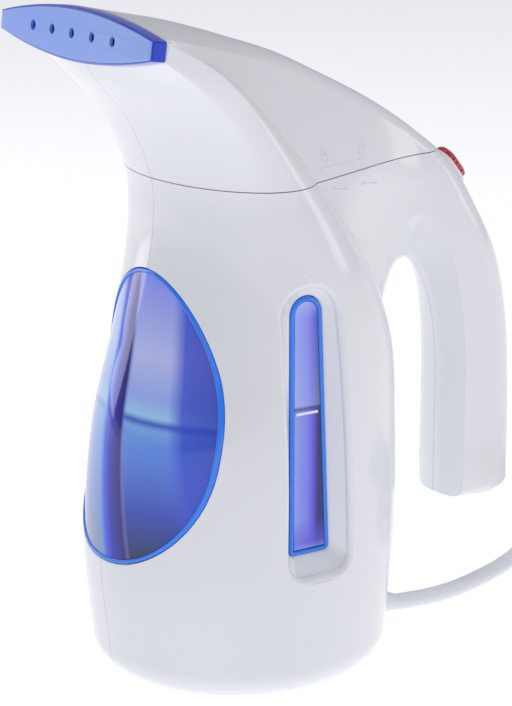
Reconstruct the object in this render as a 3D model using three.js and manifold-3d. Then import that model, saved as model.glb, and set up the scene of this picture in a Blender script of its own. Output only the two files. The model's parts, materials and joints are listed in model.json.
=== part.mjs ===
// Handheld garment steamer: a jug-shaped body with a twist-off nozzle head, a hooked handle and a free cord.
// Millimetres. +Z is up, -Y is the nozzle side, +Y is the handle side, X = 0 is the plane of symmetry.
// The origin is the centre of the flat base.
import * as THREE from "three";
import { mergeVertices } from "three/addons/utils/BufferGeometryUtils.js";
import Module from "manifold-3d";

const wasm = await Module();
wasm.setup();

// ---------------- driving dimensions
const GAP = 0.3; // clearance between pieces that touch
const WALL = 2.4; // casing wall
const WIDTH = 103.6; // the casing at its widest place
const REACH = 115; // from the origin to the back of the handle
const THROUGH = 1; // how far a cutting tool reaches past what it cuts
const PART_Z = 171.6; // height of the joint between body and head
const BASE_FILLET = 11.5; // radius round the bottom edge
const RIDGE_STEP = 1.6; // how far the tank housing stands proud of the fin behind it
const SPLIT = 0.15; // half the gap at the moulding joint on the plane of symmetry

// Tank housing, from the top of the base fillet to the back of the nozzle:
// [how much each side is in from the widest place, front y, front z, rear y, rear z]
const HOUSING = [
  [1.5, -51.6, BASE_FILLET, 51.6, BASE_FILLET],
  [0.6, -54.6, 45, 55.2, 45],
  [0, -50.5, 85, 54.2, 85],
  [1.6, -42, 115, 51.5, 115],
  [4.2, -35, 142, 40, 142],
  [5.9, -32.6, 158, 29, 158],
  [7.4, -33.3, PART_Z, 18, PART_Z],
  [6.3, -41.5, 191, -3, 193.5],
  [3.2, -53.4, 205.6, -26, 212.5],
  [2.6, -57.2, 211, -55, 227.7],
];
// Fin and handle, from the handle's lower end over the top to the nozzle:
// [spine y, spine z, place along the housing, crown half width, crown depth, crown arc in degrees,
// flank power, step in from the housing]
const FIN = [
  [REACH, 42, 0.9, 13.2, 13, 88, 3.2, 9],
  [REACH - 0.2, 75, 1.75, 13.2, 13, 88, 3.2, 8],
  [REACH - 2.6, 109, 2.8, 13.2, 13, 88, 3.2, 6],
  [REACH - 8, 131.4, 3.6, 13.2, 13, 86, 3, 3],
  [REACH - 16.9, 148.8, 4.35, 13, 12, 80, 2.6, RIDGE_STEP],
  [85.8, 166.4, 5, 12, 8.5, 70, 1.7, RIDGE_STEP],
  [70.3, 179, 5.55, 11, 6.5, 62, 1.1, RIDGE_STEP],
  [51.5, 191, 6, 12, 6, 55, 1, RIDGE_STEP],
  [26.7, 203.4, 6.5, 14.5, 6, 50, 1, RIDGE_STEP],
  [12, 210, 6.9, 17.5, 6, 48, 1, RIDGE_STEP],
  [-6, 216, 7.3, 23.5, 6, 46, 1, RIDGE_STEP],
  [-27, 222.2, 7.9, 33, 6, 44, 1, RIDGE_STEP],
  [-42, 225.4, 8.45, 41, 5.6, 44, 1, RIDGE_STEP],
  [-55, 227.9, 9, 46, 5, 44, 1, RIDGE_STEP],
];
const RIDGE_ARC = 115; // degrees round the housing from its front to the ridge
const GRIP_DEPTH = 30.5; // the handle, front to back
// finger gap on the mid plane; low and reach carry the cut clear of the casing
const GRIP = { front: 51, rear: REACH - GRIP_DEPTH, spring: 86, top: 133, low: -20, reach: 33 };
const GRIP_FLARE = { front: 0.022, rear: 0.02, top: 0.092 }; // growth with the square of x, per mm

// half, up and down are the leaf's sizes from the middle of its face; end is its blunt ends' share of that
const NOZZLE_NARROW = 2.1; // how much each side of the nozzle is in from the casing's widest place
const NOZZLE = {
  y: -61.3,
  z: 220.3,
  tilt: 7.4,
  half: WIDTH / 2 - NOZZLE_NARROW,
  up: 8.2,
  down: 8.7,
  end: 0.36,
  thick: 5,
};
const HOLES = { count: 5, pitch: 13, r: 1.65 };
// wide is the height of the window's widest place, full the power of its blunter lower half
const FRONT_WINDOW = { top: 141.5, wide: 88, low: 44.6, half: 39.4, full: 2.3 };
const SIDE_WINDOW = { low: 43.4, high: 140, front: -11.4, rear: 12.2, taper: 4.6, corner: 6 };
// the slope from the casing to the glass: its depth from the widest place, and its widths
const SILL = { depth: 7.2, low: 6.4, high: 3, front: 3.2, rear: 5.2 };
const SIDE_GLASS = {
  low: SIDE_WINDOW.low + SILL.low,
  high: SIDE_WINDOW.high - SILL.high,
  front: SIDE_WINDOW.front + SILL.front,
  rear: SIDE_WINDOW.rear - SILL.rear,
  taper: 3.4,
  corner: 1.5,
  thick: 1.8,
};
const MOUTH_Y = -1; // the mouth, the head's turning axis and the boiler share this axis
const MOUTH = { throat: 20, wall: 2, seat: 157, shoulder: 148 }; // the tank's mouth
const DECK = { thick: 2.2, collarWall: 2.8, ledgeThick: 2.6, foot: 158 };
// the head's lugs sit under the deck's ledges; half of both arcs together is less than the head's turn of 24
const LUGS = { count: 3, arc: 20, ledgeArc: 24, depth: 2.4, thick: 2.6 };
const BAYONET = { wall: 3.4, flangeWidth: 3.8, flangeThick: 2.4 };
const SEAL = { overhang: 1.8, spare: 0.4, rest: 0.9, thick: 3 }; // rest is its height over the mouth
const BAFFLE = { overhang: 2, thick: 1.6, hole: 1.6, holes: 8, ring: 10.5 };
// spare is the duct's clearance in the nozzle's opening, footIn how much narrower its foot is than the bayonet ring
const DUCT = { wall: 1.5, footIn: 2.3, halfX: 26, spare: 1.2, gasket: 2 };
const TANK = { inset: 10.4, wall: 1.8, floor: 38 };
const HEATER = { r: 34, thick: 2, opening: 27, gasketStep: 1.5, gasketWidth: 4, gasket: 1.4 };
const ELEMENT = { ring: 20, r: 3.2 };
const DOME = { spare: 1.7, wall: 1.6, skirt: 12, rise: 24, pipe: 7, top: 157, notch: 2.4 };
const THERMOSTAT = { r: 7, height: 6 };
const FUSE = { r: 2, length: 12, y: 10 };
const BASE_COVER = { r: 38, thick: 2.4, ledgeWidth: 11, ledgeThick: 2.6 };
const SCREWS = { count: 4, edge: 6, head: 2.8, headThick: 1.5, shank: 1.3, boss: 3.4, bossTop: 14 };
const CLAMP_SCREW = { head: 2.8, headThick: 1.5, shank: 1.3 };
const TERMINALS = { halfX: 13, y0: -38, y1: -28, height: 9 };
const CLAMP = { halfX: 10, y0: 29, y1: 36, height: 6.4, screw: 6.6 };
// place is the share of the spine's length from the handle's lower end
const SWITCH = { place: 0.372, halfX: 5.6, length: 16.5, depth: 7 };
const ROCKER = { frame: 1.4, back: 1.5, proud: 1.6, cap: 2.4 };
const END_CAP_THICK = 2;
const CORD = { r: 3.1, lift: 0.1, coil: 32.5, columns: 3, layers: 4, coilX: 9, coilY: 173, sides: 10 };
// wall, tip and flange are what the relief adds to the cord's radius; tipLift raises its tip over the cord
const RELIEF = { wall: 1.5, tip: 0.5, flange: 3.3, flangeThick: 2, straight: 8, length: 21, tipLift: 0.9 };
const PLUG = { relief: 14, flare: 1, length: 34, halfWide: 9, halfHigh: 6.5 };
const BLADE = { length: 17, half: 3.1, thick: 1.5, pitch: 12.7 };
// the cord's free end bends inwards over the coil by turn degrees, then runs straight into the plug
const TAIL = { r: 30, turn: 58, steps: 6, straight: 3 };
const JOIN = 206; // degrees round the coil where the cord meets it, heading clockwise
const LEAVE = 90; // degrees where its last turn leaves for the plug

const RAD = Math.PI / 180;

// ---------------- solids: closed meshes joined and cut
function solid(geometry) {
  const bare = geometry.clone();
  bare.deleteAttribute("normal");
  bare.deleteAttribute("uv");
  const merged = mergeVertices(bare, 1e-4);
  return new wasm.Manifold(
    new wasm.Mesh({
      numProp: 3,
      vertProperties: merged.attributes.position.array,
      triVerts: new Uint32Array(merged.index.array),
    }),
  );
}

function geometryOf(made) {
  const mesh = made.getMesh();
  return new THREE.BufferGeometry()
    .setAttribute("position", new THREE.BufferAttribute(mesh.vertProperties, 3))
    .setIndex(new THREE.BufferAttribute(mesh.triVerts, 1));
}

function block(x0, x1, y0, y1, z0, z1) {
  const box = new THREE.BoxGeometry(x1 - x0, y1 - y0, z1 - z0);
  return solid(box.translate((x0 + x1) / 2, (y0 + y1) / 2, (z0 + z1) / 2));
}

// A turned piece about a vertical axis: profile points are [radius, z], with the material on their left.
function turned(points, segments = 36, x = 0, y = 0) {
  const profile = [...points, points[0]].map(([r, z]) => new THREE.Vector2(r, z));
  return solid(new THREE.LatheGeometry(profile, segments).rotateX(Math.PI / 2).translate(x, y, 0));
}

function ring(rIn, rOut, z0, z1, segments = 36, x = 0, y = 0) {
  return turned([[rIn, z0], [rOut, z0], [rOut, z1], [rIn, z1]], segments, x, y);
}

function rod(r, z0, z1, x, y, segments = 16) {
  const cylinder = new THREE.CylinderGeometry(r, r, z1 - z0, segments);
  return solid(cylinder.rotateX(Math.PI / 2).translate(x, y, (z0 + z1) / 2));
}

function tube(points, r, sides, steps) {
  const circle = new THREE.Shape().absarc(0, 0, r, 0, 2 * Math.PI);
  const path = new THREE.CatmullRomCurve3(points.map((p) => new THREE.Vector3(...p)), false, "centripetal");
  return new THREE.ExtrudeGeometry(circle, { steps, curveSegments: sides, extrudePath: path });
}

// A unit cylinder bent so that each point follows place(t, angle), and caps close on centre(t).
function lofted(sides, steps, place, centre) {
  const unit = new THREE.CylinderGeometry(1, 1, 1, sides, steps);
  const position = unit.attributes.position;
  const point = new THREE.Vector3();
  for (let i = 0; i < position.count; i++) {
    point.fromBufferAttribute(position, i);
    const t = point.y + 0.5;
    const onAxis = Math.hypot(point.x, point.z) < 0.5;
    const angle = Math.atan2(point.x, point.z);
    point.copy(onAxis ? centre(t) : place(t, Math.abs(angle) < 1e-6 ? 0 : angle));
    position.setXYZ(i, point.x, point.y, point.z);
  }
  return solid(unit);
}

// ---------------- the tank housing
const housingFront = new THREE.CatmullRomCurve3(
  HOUSING.map(([narrow, y, z]) => new THREE.Vector3(WIDTH / 2 - narrow, y, z)),
  false,
  "centripetal",
);
const housingRear = new THREE.CatmullRomCurve3(
  HOUSING.map(([narrow, , , y, z]) => new THREE.Vector3(WIDTH / 2 - narrow, y, z)),
  false,
  "centripetal",
);
const HOUSING_LAST = HOUSING.length - 1;
const LEAF_START = 6; // the section starts to turn from an ellipse to the nozzle's leaf here
const LEAF_POWER = 1.925;
const LEAF_CORNER = 75; // degrees at which the leaf's blunt end begins

// The ring at place s along the housing: s < 0 is the base fillet, s = 0 its top, then one unit per station.
function housingRing(s, inset) {
  const u = Math.max(s, 0) / HOUSING_LAST;
  const front = housingFront.getPoint(u);
  const rear = housingRear.getPoint(u);
  const fillet = s < 0 ? BASE_FILLET * (1 - Math.cos(-s * 90 * RAD)) : 0;
  const drop = s < 0 ? BASE_FILLET * Math.sin(-s * 90 * RAD) : 0;
  const half = front.x - inset - fillet;
  const along = new THREE.Vector3(0, rear.y - front.y, rear.z - front.z);
  const depth = along.length();
  along.normalize();
  const start = new THREE.Vector3(0, front.y, front.z - drop).addScaledVector(along, inset + fillet);
  return { start, along, depth: depth - 2 * (inset + fillet), half };
}

function leafPoint(angle) {
  const side = Math.sign(Math.sin(angle));
  const fromEnd = Math.abs(Math.atan2(Math.cos(angle), Math.abs(Math.sin(angle)))) / RAD;
  const up = Math.sign(Math.cos(angle));
  if (90 - fromEnd >= LEAF_CORNER) return [side, (up * NOZZLE.end * fromEnd) / (90 - LEAF_CORNER)];
  const wide = Math.sin((90 - fromEnd) * RAD) / Math.sin(LEAF_CORNER * RAD);
  return [side * wide, up * (1 - (1 - NOZZLE.end) * wide ** LEAF_POWER)];
}

function housingPoint(s, angle, inset = 0) {
  const section = housingRing(s, inset);
  const leaf = THREE.MathUtils.smoothstep(s, LEAF_START, HOUSING_LAST);
  const [leafX, leafAlong] = leafPoint(angle);
  const x = THREE.MathUtils.lerp(Math.sin(angle), leafX, leaf);
  const forward = THREE.MathUtils.lerp(Math.cos(angle), leafAlong, leaf);
  return section.start
    .clone()
    .addScaledVector(section.along, (section.depth * (1 - forward)) / 2)
    .setX(section.half * x);
}

function housingCentre(s, inset) {
  const section = housingRing(s, inset);
  return section.start.clone().addScaledVector(section.along, section.depth / 2);
}

function housing(sides, steps, from, to, inset = 0) {
  const place = (t) => from + (to - from) * t;
  return lofted(
    sides,
    steps,
    (t, angle) => housingPoint(place(t), angle, inset),
    (t) => housingCentre(place(t), inset),
  );
}

// ---------------- the fin and handle
const FIN_LAST = FIN.length - 1;
const finSpine = new THREE.CatmullRomCurve3(
  FIN.map(([y, z]) => new THREE.Vector3(0, y, z)),
  false,
  "centripetal",
);

function finValue(u, column) {
  const place = THREE.MathUtils.clamp(u * FIN_LAST, 0, FIN_LAST - 1e-6);
  const i = Math.floor(place);
  return THREE.MathUtils.lerp(FIN[i][column], FIN[i + 1][column], place - i);
}

// The cross-section at u along the fin: its spine point, its direction inwards, its depth and half widths.
function finSection(u, inset) {
  const spine = finSpine.getPoint(THREE.MathUtils.clamp(u, 0, 1));
  const root = housingPoint(finValue(u, 2), RIDGE_ARC * RAD);
  const rootHalf = root.x - finValue(u, 7) - inset;
  const inward = new THREE.Vector3(0, root.y - spine.y, root.z - spine.z);
  const depth = inward.length() - inset;
  inward.normalize();
  spine.addScaledVector(inward, inset);
  return { spine, inward, depth, rootHalf, crown: finValue(u, 3) - inset, crownDepth: finValue(u, 4) };
}

const CROWN_SHARE = 0.4; // share of the half section's points on the crown
const ROOT_SHARE = 0.9; // from here on they close the section across its root

function finPoint(u, angle, inset = 0) {
  const section = finSection(u, inset);
  const share = 1 - Math.abs(angle) / Math.PI;
  const side = Math.sign(Math.sin(angle));
  let x = 0;
  let d = 0;
  if (share <= CROWN_SHARE) {
    const arc = finValue(u, 5) * RAD;
    const turn = (share / CROWN_SHARE) * arc;
    x = (section.crown * Math.sin(turn)) / Math.sin(arc);
    d = (section.crownDepth * (1 - Math.cos(turn))) / (1 - Math.cos(arc));
  } else {
    const k = Math.min((share - CROWN_SHARE) / (ROOT_SHARE - CROWN_SHARE), 1);
    d = THREE.MathUtils.lerp(section.crownDepth, section.depth, k);
    x = THREE.MathUtils.lerp(section.crown, section.rootHalf, k ** finValue(u, 6));
    if (share > ROOT_SHARE) x *= (1 - share) / (1 - ROOT_SHARE);
  }
  return section.spine.clone().addScaledVector(section.inward, d).setX(side * x);
}

function fin(sides, steps, from, to, inset = 0) {
  const place = (t) => from + (to - from) * t;
  return lofted(
    sides,
    steps,
    (t, angle) => finPoint(place(t), angle, inset),
    (t) => {
      const section = finSection(place(t), inset);
      return section.spine.clone().addScaledVector(section.inward, section.depth / 2);
    },
  );
}

// The finger gap under the fin: an arch that flares to both sides. spare makes it larger all round.
function fingerGap(sides, steps, spare = 0) {
  const arch = (t, angle) => {
    const x = (2 * t - 1) * GRIP.reach;
    const front = GRIP.front - GRIP_FLARE.front * x * x - spare;
    const rear = GRIP.rear + GRIP_FLARE.rear * x * x + spare;
    const top = GRIP.top + GRIP_FLARE.top * x * x + spare;
    const half = (rear - front) / 2;
    const turn = Math.abs(angle) / (Math.PI / 2);
    const side = Math.sign(angle);
    let y = side * half;
    let z = GRIP.spring;
    if (turn < 0.5) {
      y = side * half * turn * 2;
      z = GRIP.low;
    } else if (turn < 1) {
      z = THREE.MathUtils.lerp(GRIP.low, GRIP.spring, turn * 2 - 1);
    } else {
      y = half * Math.sin(angle);
      z = GRIP.spring - (top - GRIP.spring) * Math.cos(angle);
    }
    return new THREE.Vector3(x, (front + rear) / 2 + y, z);
  };
  return lofted(sides, steps, arch, (t) => {
    const x = (2 * t - 1) * GRIP.reach;
    return new THREE.Vector3(x, (GRIP.front + GRIP.rear) / 2, GRIP.spring);
  });
}

// A flat outline in x, y made thick along z.
function prism(shape, thick, segments = 12) {
  return new THREE.ExtrudeGeometry(shape, { depth: thick, bevelEnabled: false, curveSegments: segments });
}

// The nozzle's leaf outline, drawn a little smaller by inset, as a solid standing on the nozzle's slanted plane
// from back mm behind its front face to front mm ahead of it.
const LEAF_POINTS = 40;
function leafSolid(inset, back, front) {
  const middle = (NOZZLE.up - NOZZLE.down) / 2;
  const halfHeight = (NOZZLE.up + NOZZLE.down) / 2 - inset;
  const outline = Array.from({ length: LEAF_POINTS }, (_, i) => {
    const [across, up] = leafPoint((2 * Math.PI * (i + 0.5)) / LEAF_POINTS);
    return new THREE.Vector2(across * (NOZZLE.half - inset), middle - up * halfHeight);
  });
  const geometry = prism(new THREE.Shape(outline), back + front);
  geometry.translate(0, 0, -back).rotateX((90 - NOZZLE.tilt) * RAD);
  return solid(geometry.translate(0, NOZZLE.y, NOZZLE.z));
}

// ---------------- casing: outside, inside and shells
const HANDLE_END = FIN[0][1];
const BIG = 400;

// The casing's whole outer form, or its hollow when inset is the wall; facets counts them round and along.
function casingForm(inset, facets) {
  const clear = inset > 0 ? facets.clear : 0;
  const upright = housing(facets.round, facets.along, 0, HOUSING_LAST - clear, inset);
  const foot = housing(facets.round, facets.fillet, -1, 0, inset);
  const finEnd = clear / FIN_LAST;
  const keel = fin(facets.fin, facets.spine, finEnd, 1 - finEnd, inset);
  return upright.add(foot).add(keel.subtract(fingerGap(facets.gap, facets.flare, inset)));
}

const outer = casingForm(0, { round: 36, along: 22, fillet: 4, fin: 26, spine: 24, gap: 20, flare: 12 });
const hollowFacets = { round: 20, along: 12, fillet: 3, fin: 16, spine: 14, gap: 16, flare: 8, clear: 0.2 };
const hollowForm = casingForm(WALL, hollowFacets);
// Below the ledge that carries the base screws the hollow is only the round opening for the base cover.
const ledgeTop = BASE_COVER.thick + GAP + BASE_COVER.ledgeThick;
const baseOpening = rod(BASE_COVER.r, -THROUGH, BASE_COVER.thick + GAP, 0, 0, 48);
const ledgeOpening = rod(BASE_COVER.r - BASE_COVER.ledgeWidth, -THROUGH, ledgeTop + THROUGH, 0, 0, 36);
const hollowAbove = hollowForm.intersect(block(-BIG, BIG, -BIG, BIG, ledgeTop, BIG));
const GRIP_END = { y: (GRIP.rear + REACH) / 2, halfX: 10.6, halfY: GRIP_DEPTH / 2 - 2.65 };
function gripEndSolid(inset, z0, z1) {
  const halfX = GRIP_END.halfX - inset;
  const ellipse = new THREE.Shape().absellipse(0, GRIP_END.y, halfX, GRIP_END.halfY - inset, 0, 2 * Math.PI);
  return solid(prism(ellipse, z1 - z0, 16).translate(0, 0, z0));
}
const END_DEPTH = 8; // how far the openings at the ends of the casing reach into its hollow
const inner = hollowAbove
  .add(baseOpening)
  .add(ledgeOpening)
  .add(gripEndSolid(0, HANDLE_END - THROUGH, HANDLE_END + END_DEPTH))
  .add(leafSolid(WALL + GAP, NOZZLE.thick + END_DEPTH, THROUGH));

const pieces = [];
function piece(name, made, color, roughness = 0.35, metalness = 0) {
  const material = new THREE.MeshStandardMaterial({ color, roughness, metalness });
  const mesh = new THREE.Mesh(geometryOf(made), material);
  mesh.name = name;
  pieces.push(mesh);
}

const WHITE = "#f4f4f6";
const INNER_WHITE = "#e8e8e4";
const BLUE = "#3a5cf0";
const STEEL = "#b8bcc2";
const BRASS = "#c8a24a";

// ---------------- front window: an egg outline, flush with the housing
const WINDOW_POINTS = 36;
function frontWindowSolid(spare) {
  const { half, wide, top, low, full } = FRONT_WINDOW;
  const outline = Array.from({ length: WINDOW_POINTS }, (_, i) => {
    const angle = (2 * Math.PI * i) / WINDOW_POINTS;
    const [across, up] = [Math.cos(angle), Math.sin(angle)];
    const power = up > 0 ? 1 : 2 / full;
    const x = (half + spare) * Math.sign(across) * Math.abs(across) ** power;
    const tall = up > 0 ? top - wide : wide - low;
    return new THREE.Vector2(x, wide + (tall + spare) * Math.sign(up) * Math.abs(up) ** power);
  });
  return solid(prism(new THREE.Shape(outline), BIG / 2).rotateX(Math.PI / 2));
}
const windowSkin = housing(36, 22, 0, HOUSING_LAST).subtract(housing(20, 12, 0, HOUSING_LAST - 0.2, WALL));
piece("front_window", windowSkin.intersect(frontWindowSolid(-GAP)), BLUE, 0.1);

// ---------------- side windows: a glass pane at the bottom of a pocket
// Outline in y, z: straight front edge, leaning rear edge, round top, small corners below.
function slotSolid({ low, high, front, rear, taper, corner }, spare, x0, x1) {
  const f = front - spare;
  const r = rear + spare;
  const topRear = r - taper;
  const half = (topRear - f) / 2;
  const b = low - spare;
  const spring = high + spare - half;
  const round = corner + spare;
  const shape = new THREE.Shape();
  shape.moveTo(f, b + round);
  shape.quadraticCurveTo(f, b, f + round, b);
  shape.lineTo(r - round, b);
  shape.quadraticCurveTo(r, b, r, b + round);
  shape.lineTo(topRear, spring);
  shape.absellipse(f + half, spring, half, half, 0, Math.PI);
  // the outline's own x, y become y, z, and its thickness runs along x
  const turn = new THREE.Matrix4().makeBasis(
    new THREE.Vector3(0, 1, 0),
    new THREE.Vector3(0, 0, 1),
    new THREE.Vector3(1, 0, 0),
  );
  return solid(prism(shape, x1 - x0, 6).applyMatrix4(turn).translate(x0, 0, 0));
}

const POCKET_WALL = 1.8;
function sideWindow(sign) {
  const from = (near, far) => (sign > 0 ? [near, far] : [-far, -near]);
  const sill = WIDTH / 2 - SILL.depth;
  const pocketFloor = sill - POCKET_WALL;
  return {
    pocket: slotSolid(SIDE_WINDOW, POCKET_WALL, ...from(pocketFloor, BIG)),
    recess: slotSolid(SIDE_WINDOW, 0, ...from(sill, BIG)),
    opening: slotSolid(SIDE_GLASS, 0, ...from(sill / 2, BIG)),
    glass: slotSolid(SIDE_GLASS, -GAP, ...from(sill - SIDE_GLASS.thick, sill)),
  };
}
const rightWindow = sideWindow(1);
const leftWindow = sideWindow(-1);
piece("side_window_right", rightWindow.glass, BLUE, 0.1);
piece("side_window_left", leftWindow.glass, BLUE, 0.1);

// ---------------- strain relief, leaning down to the floor
const CORD_Z = CORD.r + CORD.lift;
const reliefStart = new THREE.Vector3(0.6, 43.5, 8.8);
const reliefAxis = new THREE.Vector3(1.4, 20.6, CORD_Z + RELIEF.tipLift - reliefStart.z).normalize();
const reliefR = CORD.r + RELIEF.wall;
const flangeR = CORD.r + RELIEF.flange;
// A turned piece set along the relief's axis from its start.
function onReliefAxis(points, segments) {
  const profile = [...points, points[0]].map(([r, z]) => new THREE.Vector2(r, z));
  const turn = new THREE.Quaternion().setFromUnitVectors(new THREE.Vector3(0, 1, 0), reliefAxis);
  const lathe = new THREE.LatheGeometry(profile, segments).applyQuaternion(turn);
  return solid(lathe.translate(reliefStart.x, reliefStart.y, reliefStart.z));
}
const relief = onReliefAxis(
  [
    [0, 0],
    [flangeR, 0],
    [flangeR, RELIEF.flangeThick],
    [reliefR, RELIEF.flangeThick],
    [reliefR, RELIEF.straight],
    [CORD.r + RELIEF.tip, RELIEF.length],
    [0, RELIEF.length],
  ],
  20,
);
const reliefHole = onReliefAxis(
  [
    [0, -THROUGH],
    [reliefR + GAP, -THROUGH],
    [reliefR + GAP, RELIEF.length + THROUGH],
    [0, RELIEF.length + THROUGH],
  ],
  20,
);
const SEAT_DEPTH = 3; // how far the flange's seat is cut clear behind it
const reliefSeat = onReliefAxis(
  [
    [0, -SEAT_DEPTH],
    [flangeR + GAP, -SEAT_DEPTH],
    [flangeR + GAP, RELIEF.flangeThick + GAP],
    [0, RELIEF.flangeThick + GAP],
  ],
  20,
);
piece("strain_relief", relief, WHITE, 0.5);

// ---------------- base cover and its screws
const screwPlaces = Array.from({ length: SCREWS.count }, (_, i) => {
  const angle = ((i + 0.5) * 2 * Math.PI) / SCREWS.count;
  const around = BASE_COVER.r - SCREWS.edge;
  return [around * Math.cos(angle), around * Math.sin(angle)];
});
const BOSS_ROOF = 2;
const screwTop = SCREWS.bossTop - BOSS_ROOF;
let bosses = null;
let screwHoles = null;
let cover = rod(BASE_COVER.r - GAP, 0, BASE_COVER.thick, 0, 0, 48);
screwPlaces.forEach(([x, y], i) => {
  const boss = rod(SCREWS.boss, BASE_COVER.thick + GAP, SCREWS.bossTop, x, y);
  const hole = rod(SCREWS.shank + GAP, -THROUGH, screwTop + GAP, x, y, 12);
  const recess = rod(SCREWS.head + GAP, -THROUGH, SCREWS.headThick + GAP, x, y);
  bosses = bosses ? bosses.add(boss) : boss;
  screwHoles = screwHoles ? screwHoles.add(hole) : hole;
  cover = cover.subtract(hole).subtract(recess);
  const shank = rod(SCREWS.shank, SCREWS.headThick / 2, screwTop, x, y, 12);
  const screw = rod(SCREWS.head, GAP / 2, SCREWS.headThick, x, y).add(shank);
  piece(`base_screw_${i + 1}`, screw, STEEL, 0.3, 1);
});
piece("base_cover", cover, WHITE, 0.4);

// ---------------- the red rocker switch on the spine, below the head
// Its own frame: x across, y down the spine, z out of the spine.
const switchSection = finSpine.getPoint(SWITCH.place);
const switchDown = finSpine.getTangent(SWITCH.place).negate();
const switchOut = new THREE.Vector3(1, 0, 0).cross(switchDown);
const switchFrame = new THREE.Matrix4()
  .makeBasis(new THREE.Vector3(1, 0, 0), switchDown, switchOut)
  .setPosition(switchSection);
function onSpine(halfX, halfY, low, high) {
  const shape = new THREE.Shape().absellipse(0, 0, halfX, halfX, 0, Math.PI);
  shape.lineTo(-halfX, -(2 * halfY - 2 * halfX));
  shape.absellipse(0, -(2 * halfY - 2 * halfX), halfX, halfX, Math.PI, 2 * Math.PI);
  const slab = prism(shape, high - low, 6).translate(0, halfY - halfX, low);
  return solid(slab.applyMatrix4(switchFrame));
}
const halfLength = SWITCH.length / 2;
const OUTSIDE = 20; // a height over the spine that is clear of the casing
const switchOpening = onSpine(SWITCH.halfX + GAP, halfLength + GAP, -SWITCH.depth - GAP, OUTSIDE);
const rimOuter = onSpine(SWITCH.halfX, halfLength, -SWITCH.depth, ROCKER.proud / 2);
const capHalfX = SWITCH.halfX - ROCKER.frame;
const capHalfY = halfLength - ROCKER.frame;
const rimInner = onSpine(capHalfX, capHalfY, -SWITCH.depth + ROCKER.back, OUTSIDE);
piece("switch_frame", rimOuter.subtract(rimInner), WHITE, 0.3);
const cap = onSpine(capHalfX - GAP, capHalfY - 2 * GAP, -ROCKER.cap, ROCKER.proud);
piece("switch_rocker", cap, "#c03040", 0.2);

// ---------------- the four casing shells
const bodyCuts = frontWindowSolid(0)
  .add(rightWindow.recess)
  .add(leftWindow.recess)
  .add(rightWindow.opening)
  .add(leftWindow.opening)
  .add(screwHoles)
  .add(reliefHole)
  .add(reliefSeat)
  .add(switchOpening);
const pockets = rightWindow.pocket.add(leftWindow.pocket).intersect(outer);
const bodyWhole = outer.subtract(inner).add(pockets).add(bosses).subtract(bodyCuts);
const headWhole = outer.subtract(inner);
const belowJoint = block(-BIG, BIG, -BIG, BIG, -THROUGH, PART_Z - GAP / 2);
const aboveJoint = block(-BIG, BIG, -BIG, BIG, PART_Z + GAP / 2, BIG);
const nozzleBack = leafSolid(-OUTSIDE, NOZZLE.thick + GAP, 2 * OUTSIDE);
const rightHalf = block(SPLIT, BIG, -BIG, BIG, -BIG, BIG);
const leftHalf = block(-BIG, -SPLIT, -BIG, BIG, -BIG, BIG);
const body = bodyWhole.intersect(belowJoint);
const head = headWhole.intersect(aboveJoint).subtract(nozzleBack);
piece("body_shell_right", body.intersect(rightHalf), WHITE, 0.15);
piece("body_shell_left", body.intersect(leftHalf), WHITE, 0.15);
piece("head_shell_right", head.intersect(rightHalf), WHITE, 0.15);
piece("head_shell_left", head.intersect(leftHalf), WHITE, 0.15);
const handleCap = gripEndSolid(GAP, HANDLE_END + GAP, HANDLE_END + GAP + END_CAP_THICK);
piece("handle_end_cap", handleCap, WHITE, 0.4);

// ---------------- tank, with its mouth at the top
const neckR = MOUTH.throat + MOUTH.wall;
const tankOut = housing(24, 10, 0, 6, TANK.inset).intersect(
  block(-BIG, BIG, -BIG, BIG, TANK.floor, MOUTH.shoulder),
);
const tankIn = housing(20, 8, 0, 6, TANK.inset + TANK.wall).intersect(
  block(-BIG, BIG, -BIG, BIG, TANK.floor + TANK.wall, MOUTH.shoulder - TANK.wall),
);
const tank = tankOut
  .subtract(tankIn)
  .add(rod(neckR, MOUTH.shoulder - TANK.wall / 2, MOUTH.seat, 0, MOUTH_Y, 36))
  .subtract(rod(MOUTH.throat, MOUTH.shoulder - TANK.wall - THROUGH, MOUTH.seat + THROUGH, 0, MOUTH_Y, 36))
  .subtract(rod(HEATER.opening, TANK.floor - THROUGH, TANK.floor + TANK.wall + THROUGH, 0, MOUTH_Y, 36));
piece("tank", tank, BLUE, 0.1);

// ---------------- boiler under the tank
const gasketTop = TANK.floor - GAP;
const plateTop = gasketTop - HEATER.gasket - GAP;
const plateLow = plateTop - HEATER.thick;
const gasketIn = HEATER.opening + HEATER.gasketStep;
const gasketLow = gasketTop - HEATER.gasket;
const tankGasket = ring(gasketIn, gasketIn + HEATER.gasketWidth, gasketLow, gasketTop, 36, 0, MOUTH_Y);
piece("tank_gasket", tankGasket, "#d8d8d0", 0.8);
piece("heater_plate", rod(HEATER.r, plateLow, plateTop, 0, MOUTH_Y, 40), STEEL, 0.3, 1);
const elementZ = plateLow - GAP - ELEMENT.r;
const torus = new THREE.TorusGeometry(ELEMENT.ring, ELEMENT.r, 8, 20).translate(0, MOUTH_Y, elementZ);
piece("heating_element", solid(torus), STEEL, 0.4, 1);
const domeFoot = plateTop + GAP;
const skirtTop = domeFoot + DOME.skirt;
const domeTop = domeFoot + DOME.rise;
const domeR = HEATER.opening - DOME.spare;
const dome = turned(
  [
    [domeR - DOME.wall, domeFoot],
    [domeR, domeFoot],
    [domeR, skirtTop],
    [DOME.pipe, domeTop],
    [DOME.pipe, DOME.top],
    [DOME.pipe - DOME.wall, DOME.top],
    [DOME.pipe - DOME.wall, domeTop - DOME.wall],
    [domeR - DOME.wall, skirtTop - DOME.wall],
  ],
  30,
  0,
  MOUTH_Y,
);
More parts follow.
